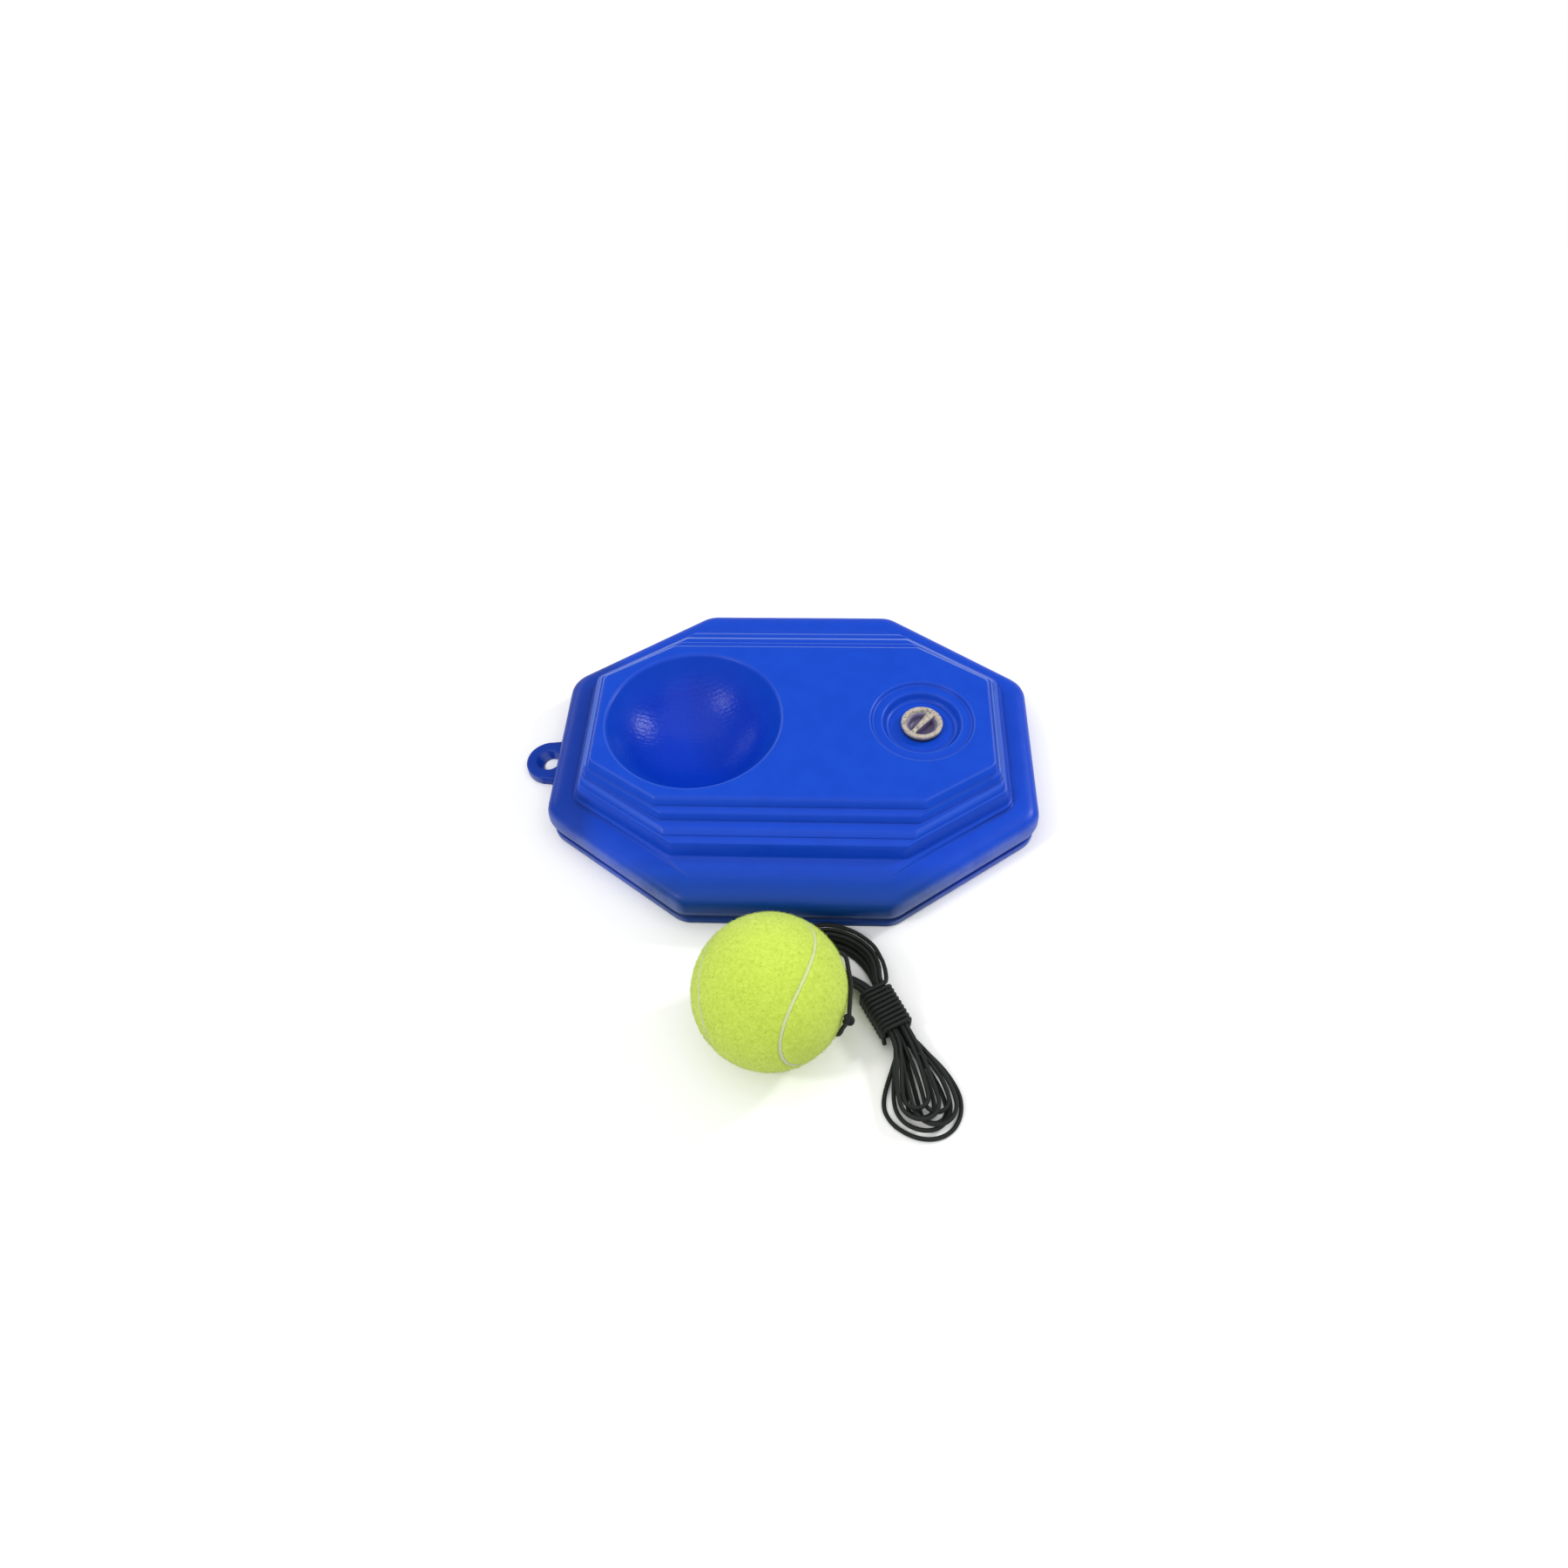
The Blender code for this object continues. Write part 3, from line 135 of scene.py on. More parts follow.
WRAP_CORNER = np.radians([10, 45, 80])
WRAP_SLACK = 0.12 * MM  # how far one turn stands out more than another
WRAP_WANDER = (0.61, 0.137)  # radians a point: how that slack comes and goes
WRAP_START = 2  # the corner point at which the first turn sets in
BRIDGE_SLACK = 0.5  # how full the curve from the loops into it is
WRAP_END_ALONG = np.array([0.7, 1.4, 2.2]) * MM
WRAP_END_OUT = np.array([0.0, 0.1, 0.2]) * MM
WRAP_END_DROP = np.array([1.0, 2.2, 3.2]) * MM


def unit(vectors):
    """Each vector divided by its own length."""
    return vectors / np.linalg.norm(vectors, axis=-1, keepdims=True)


def smooth_curve(points, spacing, steps=24):
    """Points a spacing apart on the cubic that passes through each given point.

    Between two points it leaves and arrives in the direction of their neighbours' chord.
    """
    points = np.array(points, dtype=float)
    padded = np.vstack([2 * points[0] - points[1], points, 2 * points[-1] - points[-2]])
    before, start, end, after = (padded[k:len(padded) - 3 + k][:, None] for k in range(4))
    share = np.linspace(0, 1, steps, endpoint=False)[None, :, None]
    dense = 0.5 * (2 * start + (end - before) * share
                   + (2 * before - 5 * start + 4 * end - after) * share ** 2
                   + (3 * start - before - 3 * end + after) * share ** 3)
    dense = np.vstack([dense.reshape(-1, points.shape[1]), points[-1:]])
    length = np.linalg.norm(np.diff(dense, axis=0), axis=1)
    length = np.concatenate([[0], np.cumsum(length)])
    wanted = np.linspace(0, length[-1], max(2, round(length[-1] / spacing) + 1))
    return np.stack([np.interp(wanted, length, column) for column in dense.T], axis=1)


spine = smooth_curve(HANK_SPINE, SPINE_STEP)
spine_along = np.arange(len(spine)) * np.linalg.norm(spine[1] - spine[0])
spine_way = unit(np.gradient(spine, spine_along, axis=0))
spine_length = spine_along[-1]


def once_round(steps):
    """Evenly spaced angles that go once round."""
    return np.linspace(0, 2 * math.pi, steps, endpoint=False)


def hank_place(share, side, height):
    """The point at a share of the hank's spine, to a side of it and at a height."""
    held = np.clip(share, 0, 1)
    place = held * spine_length
    centre, ahead = (np.stack([np.interp(place, spine_along, column) for column in values.T],
                              axis=1) for values in (spine, spine_way))
    ahead = unit(ahead)
    beyond = (share - held) * spine_length
    across = np.stack([-ahead[:, 1], ahead[:, 0]], axis=1)
    flat = centre + ahead * beyond[:, None] + across * side[:, None]
    return np.hstack([flat, height[:, None]])


def hank_points():
    """One cord in loops that spiral in and out over the layers.

    A loop's angle runs down the hank's right and up its left.  The lane counts strands out
    from the inner loop, and holds for the half turn in which the cord climbs a layer.
    Side = inner half width + lane times its step + the slump of its layer from eye to
    waist; in the fan each loop has a half width, a shift and a reach of its own.  Both
    ends are half circles.
    """
    turns = np.arange(0, HANK_LAYERS * LOOPS_PER_LAYER + LAST_PART + 1e-9, 1 / LOOP_POINTS)
    angle = turns * 2 * math.pi
    widest = LOOPS_PER_LAYER - 0.5
    layer_number = np.minimum(turns // LOOPS_PER_LAYER, HANK_LAYERS - 1)
    within = turns - layer_number * LOOPS_PER_LAYER
    below_top = layer_number < HANK_LAYERS - 1
    spiral = np.where(below_top, np.minimum(within, widest), within)
    lane = np.where(layer_number % 2 == 0, widest - spiral, spiral)
    climb = np.clip((within - widest) / 0.5, 0, 1) * below_top
    layer = layer_number + 0.5 - 0.5 * np.cos(np.pi * climb)
    share = 0.5 - 0.5 * np.cos(angle)
    loop = np.minimum(turns.astype(int), len(FAN_HALF) - 1)
    first = -lane * LANE_STEP_EYE
    last = spine_length + FAN_REACH[loop]
    along = first + (last - first) * share
    place = along / spine_length

    fan = np.clip((place - WAIST[1]) / (1 - WAIST[1]), 0, 1)
    eye = np.clip((WAIST[0] - place) / WAIST[0], 0, 1)
    eye_lead = eye ** EYE_OPENING
    eye_shape = np.clip(EYE_ROUNDNESS * np.sin(np.pi * eye_lead)
                        + EYE_LENGTHENING * eye_lead, 0, 1.05)
    spread = np.sin(np.pi / 2 * np.clip(fan / FAN_RUN, 0, 1)) ** FAN_OPENING
    on_left = np.sin(angle) < 0
    waist = np.where(on_left, LANE_STEP_CLIMB, LANE_STEP_WAIST)
    slid = 0.5 - 0.5 * np.cos(np.pi * np.minimum(1, eye / SLUMP_RUN))
    bound = (WAIST_HALF + (np.where(on_left, *EYE_HALF[::-1]) - WAIST_HALF) * eye_shape
             + lane * (waist + (LANE_STEP_EYE - waist) * eye) + SLUMP * layer * slid)
    half = bound * (1 - spread) + FAN_HALF[loop] * spread
    gone = np.clip(np.minimum(along - first, last - along) / half, 0, 1)
    wave = FAN_WAVE * np.sin(2 * np.pi * FAN_WAVES * place + FAN_WAVE_SHIFT * loop)
    side = (np.where(on_left, -1, 1) * half * np.sqrt(1 - (1 - gone) ** 2)
            + (FAN_SHIFT[loop] + wave) * spread)

    middle = sum(WAIST) / 2
    past = np.clip((np.abs(place - middle) - (middle - WAIST[0])) / LIFT_RUN, 0, 1)
    lift = CORD_PITCH * (0.5 + 0.5 * np.cos(np.pi * past))
    height = CORD_RADIUS + TABLE_CLEARANCE + layer * CORD_PITCH + lift
    return hank_place(place, side, height)


def wrap_points(hank):
    """The cord's last turns round the waist: a rectangle with rounded corners, one cord
    pitch out from the strands, carried along the spine by a pitch a turn.  A Hermite
    cubic leads in from the loops' end, whose basis is in the share s."""
    right_side = WAIST_HALF + (LOOPS_PER_LAYER - 0.5) * LANE_STEP_WAIST
    left_side = WAIST_HALF + LOOPS_PER_LAYER * LANE_STEP_CLIMB
    half_up = (HANK_LAYERS - 1) / 2 * CORD_PITCH
    middle = CORD_RADIUS + TABLE_CLEARANCE + half_up + CORD_PITCH
    radius = CORD_PITCH + WRAP_CLEARANCE
    right = right_side + radius * np.cos(WRAP_CORNER)
    left = -left_side - radius * np.cos(WRAP_CORNER)
    round_z = half_up + radius * np.sin(WRAP_CORNER)
    side = np.concatenate([right, [0], left[::-1], [-left_side - radius],
                           left, [0], right[::-1], [right_side + radius]])
    height = middle + np.concatenate([round_z, [half_up + radius], round_z[::-1], [0],
                                      -round_z, [-half_up - radius], -round_z[::-1], [0]])
    index = np.arange(WRAP_START, WRAP_TURNS * WRAP_TURN_POINTS - WRAP_TURN_POINTS // 2)
    side = side[index % WRAP_TURN_POINTS]
    height = height[index % WRAP_TURN_POINTS]
    slack = WRAP_SLACK * np.sin(index * WRAP_WANDER[0]) * np.sin(index * WRAP_WANDER[1])
    side = side + np.sign(side) * np.abs(slack)
    along = WAIST[0] * spine_length + WRAP_PITCH * index / WRAP_TURN_POINTS
    turns = hank_place(along / spine_length, side, height)
    ahead = unit(hank[-1] - hank[-2])
    onward = unit(turns[1] - turns[0])
    reach = np.linalg.norm(turns[0] - hank[-1])
    s = np.array([0.25, 0.5, 0.75])[:, None]
    beside = (hank[-1] * (2 * s ** 3 - 3 * s ** 2 + 1) + turns[0] * (3 * s ** 2 - 2 * s ** 3)
              + BRIDGE_SLACK * reach * (ahead * (s ** 3 - 2 * s ** 2 + s)
                                        + onward * (s ** 3 - s ** 2)))
    lead_out = hank_place((along[-1] + WRAP_END_ALONG) / spine_length,
                          side[-1] - WRAP_END_OUT, height[-1] - WRAP_END_DROP)
    return np.vstack([beside, turns, lead_out])


def on_ball(start, end, share, out):
    """A point a distance out from the ball's middle, a share of the way between two
    directions."""
    return BALL_CENTRE + np.array(start.slerp(end, share)) * out


def cord_route():
    """The whole cord's points, from the stopper in the ball to the free end."""
    lie = BALL_RADIUS + CORD_RADIUS + GAP
    tail = [on_ball(HOLE_DIRECTION, HOLE_DIRECTION, 0, BALL_RADIUS - depth)
            for depth in TAIL_DEPTHS]
    tail += [on_ball(KNOT_DIRECTION, HOLE_DIRECTION, share, out) for share, out in (
        (1.0, BALL_RADIUS - 0.9 * MM), (0.85, BALL_RADIUS + 0.9 * MM), (0.5, lie),
        (0.0, BALL_RADIUS + KNOT_RADIUS + GAP))]
    lead = [on_ball(KNOT_DIRECTION, TOUCH_DIRECTION, share, lie + out)
            for share, out in ((0.2, 0.6 * MM), (0.4, 0.0), (0.7, 0.0), (1.0, 0.0))]
    hank = hank_points()
    before = unit(hank[0] - hank[1])
    return np.vstack([tail, lead, LEAD_ROUTE, hank[0] + before * STRAIGHT_END, hank,
                      wrap_points(hank)])


def transported(points):
    """Two directions across a path, carried along it so that they never twist round it."""
    along = unit(np.gradient(points, axis=0))
    side = np.zeros_like(points)
    side[0] = unit(np.cross(along[0], (0.31, 0.17, 0.93)))
    for i in range(1, len(points)):
        kept = side[i - 1] - along[i] * (side[i - 1] @ along[i])
        side[i] = kept / np.linalg.norm(kept)
    return side, np.cross(along, side)


def grid_faces(rows, columns, wrap_rows=False, wrap_columns=False):
    """The quads of a grid of rows by columns, joined round where wrapped."""
    row = np.arange(rows if wrap_rows else rows - 1)[:, None]
    column = np.arange(columns if wrap_columns else columns - 1)[None, :]
    after = (row + 1) % rows
    beside = (column + 1) % columns
    corners = (row * columns + column, row * columns + beside,
               after * columns + beside, after * columns + column)
    return np.stack([np.broadcast_to(c, (row.size, column.size)) for c in corners],
                    axis=-1).reshape(-1, 4)


def add_piece(name, vertices, faces, finish, body, slot, stands_for=()):
    """Put a smooth mesh into the scene as a piece of the object that rides on a body."""
    mesh = bpy.data.meshes.new(name)
    mesh.from_pydata(vertices.tolist(), [], [list(map(int, f)) for f in faces])
    mesh.shade_smooth()
    mesh.materials.append(finish)
    piece = put_in_scene(name, mesh)
    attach(piece, body)
    if stands_for:
        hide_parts(*stands_for)
    return piece


def tube_faces(rows, sides, closed=False):
    """The quads round a tube, and a face over each end unless it is closed."""
    faces = grid_faces(rows, sides, closed, True).tolist()
    first = (rows - 1) * sides
    return faces if closed else faces + [list(range(sides))[::-1],
                                         list(range(first, first + sides))]


def tube(points, radius, sides, closed=False):
    """Vertices and faces of a round tube: ring k is point k plus the radius times the
    cosine and sine of the angle along the two directions across the path."""
    side, other = transported(points)
    if closed:
        # the carried directions come back turned, so the turn is spread over the loop
        last = side[-1]
        turn = math.atan2(float(last @ other[0]), float(last @ side[0]))
        spread = -turn * np.linspace(0, 1, len(points))[:, None]
        side, other = (side * np.cos(spread) + other * np.sin(spread),
                       other * np.cos(spread) - side * np.sin(spread))
    angle = once_round(sides)
    rings = (points[:, None] + radius * (np.cos(angle)[None, :, None] * side[:, None]
                                         + np.sin(angle)[None, :, None] * other[:, None]))
    return rings.reshape(-1, 3), tube_faces(len(points), sides, closed)


def hex_colour(code):
    """The linear colour of an sRGB hex value such as 1f47c9, with an alpha of 1."""
    shares = np.array([int(code[i:i + 2], 16) for i in (0, 2, 4)]) / 255
    light = np.where(shares <= 0.04045, shares / 12.92, ((shares + 0.055) / 1.055) ** 2.4)
    return (*light.tolist(), 1.0)


def add_node(tree, kind, inputs, **settings):
    """Add a node of a kind, or take the one given, and set it up.  An input gets a number,
    a colour by its hex value, or a link from a socket or from a node's first output."""
    made = tree.nodes.new("ShaderNode" + kind) if isinstance(kind, str) else kind
    for key, value in settings.items():
        setattr(made, key, value)
    for key, value in inputs.items():
        if isinstance(value, bpy.types.Node):
            value = next(socket for socket in value.outputs if socket.enabled)
        if isinstance(value, bpy.types.NodeSocket):
            tree.links.new(value, made.inputs[key])
        else:
            value = hex_colour(value) if isinstance(value, str) else value
            made.inputs[key].default_value = value
    return made


def new_finish(name, code, roughness, ior=1.5):
    """A material of one colour, add_node for its own node tree, its shader, and the
    coordinates that its patterns read."""
    finish = bpy.data.materials.new(name)
    finish.use_nodes = True
    shader = finish.node_tree.nodes["Principled BSDF"]
    node = partial(add_node, finish.node_tree)
    node(shader, {"Base Color": code, "Roughness": roughness, "IOR": ior})
    return finish, node, shader, node("TexCoord", {}).outputs


# Braided polyester cover: matt black with a green cast and a faint sheen.  Its plait is
# drawn about twice as coarse as real so that it shows, from the cord's own UV map.
PLAIT_STRANDS = 6
PLAIT_LENGTH = 2.6 * MM  # along the cord, for one strand to go once round
PLAIT_DEPTH = 0.12 * MM
braid, node, shader, coordinates = new_finish("braided_polyester", "0c100e", 0.6)
axes = node("SeparateXYZ", {"Vector": coordinates["UV"]}).outputs
full_turns = 2 * math.pi * PLAIT_STRANDS
around = node("Math", {0: axes["X"], 1: full_turns}, operation="MULTIPLY")
waves = []
for lean in (1, -1):
    turned = node("Math", {0: axes["Y"], 1: lean * full_turns, 2: around},
                  operation="MULTIPLY_ADD")
    waves.append(node("Math", {0: turned}, operation="SINE"))
plait = node("Math", {0: waves[0], 1: waves[1]}, operation="MAXIMUM")
tint = node("Mix", {"Factor": plait, "A": "060908", "B": "141a17"}, data_type="RGBA")
bump = node("Bump", {"Height": plait, "Strength": 0.35, "Distance": PLAIT_DEPTH})
node(shader, {"Base Color": tint, "Normal": bump, "Specular IOR Level": 0.35,
              "Sheen Weight": 0.06, "Sheen Roughness": 0.4})

route = smooth_curve(cord_route(), CORD_RING_SPACING)
cord = add_piece("elastic_cord", *tube(route, CORD_RADIUS, CORD_SIDES), braid, "ball",
                 "cord_braid", ("cord_tail", "cord_lead", "cord_hank", "cord_wrap"))
layer = cord.data.uv_layers.new(name="along_cord")
corner = np.zeros(len(cord.data.loops), dtype=np.int32)
cord.data.loops.foreach_get("vertex_index", corner)
ring, around = corner // CORD_SIDES, corner % CORD_SIDES
face_start = np.repeat([p.loop_start for p in cord.data.polygons],
                       [p.loop_total for p in cord.data.polygons])
first = corner[face_start] % CORD_SIDES
around = np.where((first == CORD_SIDES - 1) & (around == 0), CORD_SIDES, around)
layer.data.foreach_set("uv", np.stack([around / CORD_SIDES,
                                       ring * CORD_RING_SPACING / PLAIT_LENGTH],
                                      axis=1).astype(np.float32).ravel())

# Knots
# An overhand knot pulled tight is a small round lump of three crossing bights: one sits
# outside the ball, and one inside keeps the cord from pulling out.
KNOT_LOBE = 0.8 * MM
KNOT_MIDDLE = 0.95 * MM
KNOT_RISE = 1.25  # of a lobe, up and down
KNOT_STEPS = 90
KNOT_SIDES = 10


def add_knot(name, centre, stands_for):
    """A trefoil tube: it goes twice round while its lobe turns three times."""
    t = once_round(KNOT_STEPS)
    reach = KNOT_MIDDLE + KNOT_LOBE * np.cos(3 * t)
    line = np.stack([reach * np.cos(2 * t), reach * np.sin(2 * t),
                     KNOT_RISE * KNOT_LOBE * np.sin(3 * t)], axis=1)
    points, quads = tube(line, CORD_RADIUS, KNOT_SIDES, closed=True)
    turn = np.array(KNOT_DIRECTION.to_track_quat("X", "Z").to_matrix())
    return add_piece(name, points @ turn.T + centre, quads, braid, "ball", "cord_braid",
                     (stands_for,))


outer_knot = add_knot("outer_knot", on_ball(KNOT_DIRECTION, KNOT_DIRECTION, 0,
                                            BALL_RADIUS + KNOT_RADIUS + GAP), "cord_knot")
stopper_low, stopper_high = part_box("cord_stopper")
inner_knot = add_knot("inner_knot", np.array((stopper_low + stopper_high) / 2),
                      "cord_stopper")

# Base
# One hollow blow moulding in royal blue polyethylene: a flat plate over four soft
# terraces, a rounded shoulder, a wall with the mould's parting groove, and a short foot.
BASE_HEIGHT = 39.6 * MM
PLATE = np.array([95.8, 48.2, 33.8, 22.0, 4.0]) * MM  # half x, half y, cut x, cut y, corner
TREADS = np.array([(3.0, 6.3, 5.4, 3.3, 0.0), (1.5, 5.9, 3.6, 3.8, 0.0),
                   (1.3, 7.2, 4.8, 2.9, 0.0)]) * MM
OUTLINE = np.array([118.9, 93.9, 69.4, 49.6, 15.0]) * MM
RISES = np.array([3.5, 3.5, 2.4, 7.7]) * MM
SLOPE_SHARES = (0.5, 0.42, 0.5)  # part of each tread that its soft riser takes
SLOPE_POWER = 1.55
FOOT_SHARE = 0.1
FOOT_RISE = 0.5 * MM
RISER_STEPS = 9
FOOT_STEPS = 5
LAST_SLOPE = 2.4 * MM
LEDGE_FILLET = 1.6 * MM
LEDGE_FILLET_RISE = 1.2 * MM
LEDGE_DROP = 1.6 * MM
SHOULDER_WIDTH = 14.0 * MM
SHOULDER_DROP = 9.0 * MM
SHOULDER_STEP = 1.1 * MM
SHOULDER_CURVE = np.array([(1.0, 0.0), (0.45, 0.08), (0.17, 0.26), (0.03, 0.55), (0.0, 1.0)])
PARTING_HEIGHT = 5.0 * MM
PARTING_DEPTH = 3.0 * MM
PARTING_STEP = 0.45 * MM
PARTING_CURVE = np.array([(0.1, 5.6), (0.25, 4.2), (0.55, 1.8), (0.86, 0.6), (1.0, 0.0),
                          (0.86, -0.5), (0.55, -0.8), (0.45, -1.6), (0.45, -3.9),
                          (0.55, -4.6), (0.8, -5.0)])
PARTING_CURVE[:, 1] *= MM
BOWL_X = -48.6 * MM
BOWL_RADIUS = 43.3 * MM
BOWL_DEPTH = 28.0 * MM
BOWL_LIP = 3.2 * MM  # radius that rolls the plate into the bowl
BOWL_LIP_SHARE = 0.35  # part of it that lies inside the opening
BOWL_POLE = 0.02  # radians left open at the bottom, then capped
BOWL_LIP_STEPS = 10
BOWL_STEPS = 40
BOWL_SEGMENTS = 132
FILLER_X = 62.8 * MM
RING_RADIUS = 25.1 * MM
RING_DEPTH = 1.7 * MM
RECESS_RADIUS = 18.8 * MM
RECESS_DEPTH = 5.2 * MM
NECK_RADIUS = 8.65 * MM
WELL_STEP = 0.45 * MM
WELL_SEGMENTS = 108
LATTICE_STEP = 3.0 * MM  # points that fill the plate
LATTICE = (np.arange(-96, 96, 3.0) * MM, np.arange(-48, 48.1, 2.6) * MM)
LATTICE_CLEARANCE = 1.2 * MM
LUG_THICKNESS = 5.0 * MM
LUG_RADIUS = 12.3 * MM
LUG_X = -126.1 * MM
LUG_ROOT_X = -114.6 * MM
LUG_HOLE_RADIUS = 6.4 * MM
LUG_HOLE_X = -127.1 * MM
LUG_FUNNEL = ((0.72, 0.0), (0.68, 0.08), (0.66, 0.2), (0.7, 0.36), (0.82, 0.66), (0.93, 0.88),
              (1.0, 0.97), (1.1, 1.0))  # shares of the hole's radius and the thickness
LUG_FUNNEL_LEAN = 1.7 * MM  # how much nearer the base the hole is at the bottom
LUG_EDGE = 1.2 * MM
LUG_FLARE = 1.5 * MM  # wider at its root on each side
LUG_SEGMENTS = 96
LUG_NOSE_STEPS = 60
LUG_ROOT_STEPS = 90
LUG_RIM_STEPS = 6
CORNER_STEPS = 7
EDGE_STEPS = 9


def octagon(level, outward, height):
    """A rounded octagon with all its edges moved outward alike.  Each corner is an arc
    tangent to its two edges, and each edge is cut into equal steps between the arcs."""
    half_x, half_y, cut_x, cut_y, radius = level
    normal_x, normal_y = np.array([cut_y, cut_x]) / math.hypot(cut_x, cut_y)
    half_x, half_y = half_x + outward, half_y + outward
    cut_x += outward * (1 - (1 - normal_y) / normal_x)
    cut_y += outward * (1 - (1 - normal_x) / normal_y)
    radius = max(radius + outward, PLATE[4])
    quarter = [(half_x, half_y - cut_y), (half_x - cut_x, half_y)]
    corners = quarter + [(-x, y) for x, y in reversed(quarter)]
    here = np.array(corners + [(-x, -y) for x, y in corners])
    back = unit(np.roll(here, 1, axis=0) - here)
    ahead = unit(np.roll(here, -1, axis=0) - here)
    half_turn = (math.pi - np.arccos((back * ahead).sum(axis=1)))[:, None] / 2
    centre = here + unit(back + ahead) * radius / np.cos(half_turn)
    start = here + back * radius * np.tan(half_turn) - centre
    step = 2 * half_turn * np.linspace(0, 1, CORNER_STEPS)[None, :]
    arc = np.stack([start[:, :1] * np.cos(step) - start[:, 1:] * np.sin(step),
                    start[:, :1] * np.sin(step) + start[:, 1:] * np.cos(step)],
                   axis=-1) + centre[:, None]
    share = np.linspace(0, 1, EDGE_STEPS + 2)[None, 1:-1, None]
    edge = arc[:, -1:] * (1 - share) + np.roll(arc[:, :1], -1, axis=0) * share
    flat = np.concatenate([arc, edge], axis=1).reshape(-1, 2)
    return np.hstack([flat, np.full((len(flat), 1), height)])


def riser_rings(level, wider, outward, slope, foot, top, rise, foot_rise):
    """Rings down a riser and its foot, each widened by its own share of the two steps out.
    The riser's drop is a power of how far out it has come, so that it leaves the tread
    above softly and is steepest at its foot, which is a quarter of an ellipse."""
    share = np.linspace(0, 1, RISER_STEPS)
    quarter = np.linspace(0, math.pi / 2, FOOT_STEPS)[1:]
    gone = np.concatenate([slope * share, slope + foot * (1 - np.cos(quarter))])
    height = np.concatenate([top - (rise - foot_rise) * share ** SLOPE_POWER,
                             top - rise + foot_rise * (1 - np.sin(quarter))])
    return [octagon(level + wider * out, outward * out, up) for out, up in zip(gone, height)]


def base_rings():
    """Rings down the base's outside: plate edge, four risers and treads, ledge, shoulder,
    wall, parting groove and foot."""
    rings = []
    level, height = PLATE, BASE_HEIGHT
    for tread, slope, rise in zip(TREADS, SLOPE_SHARES, RISES):
        rings += riser_rings(level, tread * [1, 1, 0, 0, 0], 0, slope, FOOT_SHARE,
                             height, rise, FOOT_RISE)
        level, height = level + tread, height - rise
    rings += riser_rings(level, 0, 1, LAST_SLOPE, LEDGE_FILLET,
                         height, RISES[-1], LEDGE_FILLET_RISE)
    ledge = height - RISES[-1] - LEDGE_DROP
    for left, gone in smooth_curve(SHOULDER_CURVE * [SHOULDER_WIDTH, SHOULDER_DROP],
                                   SHOULDER_STEP):
        rings.append(octagon(OUTLINE, -left, ledge - gone))
    for inward, up in smooth_curve(PARTING_CURVE * [PARTING_DEPTH, 1], PARTING_STEP):
        rings.append(octagon(OUTLINE, -inward, PARTING_HEIGHT + up))
    return np.array(rings)


def turned_rings(profile, centre_x, segments):
    """Rings of a profile of (radius, height) turned about an upright axis."""
    angle = once_round(segments)
    radius, height = profile.T
    return np.stack([centre_x + radius[:, None] * np.cos(angle), radius[:, None] * np.sin(angle),
                     np.broadcast_to(height[:, None], (len(height), segments))], axis=-1)


def bowl_profile():
    """From the plate inwards: a lip arc tangent to the plate, then the ball-shaped dent,
    whose radius follows from its opening and depth."""
    radius = (BOWL_RADIUS ** 2 + BOWL_DEPTH ** 2) / (2 * BOWL_DEPTH)
    slope = math.asin((BOWL_RADIUS - BOWL_LIP * BOWL_LIP_SHARE) / radius)
    middle = BASE_HEIGHT - BOWL_DEPTH + radius
    join = np.array([radius * math.sin(slope), middle - radius * math.cos(slope)])
    lip_middle = join + np.array([math.sin(slope), -math.cos(slope)]) * BOWL_LIP
    lift = BASE_HEIGHT - (lip_middle[1] + BOWL_LIP)
    turn = np.linspace(0, slope, BOWL_LIP_STEPS)
    lip = np.stack([lip_middle[0] - BOWL_LIP * np.sin(turn),
                    lip_middle[1] + BOWL_LIP * np.cos(turn)], axis=1)
    polar = np.linspace(slope, BOWL_POLE, BOWL_STEPS)[1:]
    dent = np.stack([radius * np.sin(polar), middle - radius * np.cos(polar)], axis=1)
    return np.vstack([lip, dent]) + [0, lift]


def filler_profile():
    """From the plate inwards: a shallow ring, the recess with two faint ripples in its
    floor, the seat and the blind neck, as millimetres out and up from five corners."""
    top, ledge, floor = BASE_HEIGHT, BASE_HEIGHT - RING_DEPTH, BASE_HEIGHT - RECESS_DEPTH
    return smooth_curve(np.array([
        (radius + out * MM, height + up * MM) for radius, height, points in (
            (RING_RADIUS, top, ((0.9, 0), (0.3, -0.12), (-0.4, -0.6))),
            (RING_RADIUS, ledge, ((-1.1, 0.2), (-2.0, 0))),
            (RECESS_RADIUS, ledge, ((1.4, 0.3), (0.6, 0.1), (-0.1, -0.5))),
            (RECESS_RADIUS, floor, ((-1.2, 1.1), (-2.0, 0.35), (-2.8, 0.05), (-3.4, 0),
                                    (-3.8, 0.22), (-4.6, 0), (-5.6, 0.18), (-6.4, 0))),
            (NECK_RADIUS, floor, ((0.5, 0), (0.1, -0.2), (0, -0.7), (0, -13.0))),
        ) for out, up in points]), WELL_STEP)


def fan_faces(first, ring, flip):
    """Triangles from one middle vertex to a ring of vertices."""
    after = np.roll(ring, -1)
    middle = np.full(len(ring), first)
    return np.stack([middle, after, ring] if flip else [middle, ring, after], axis=1)


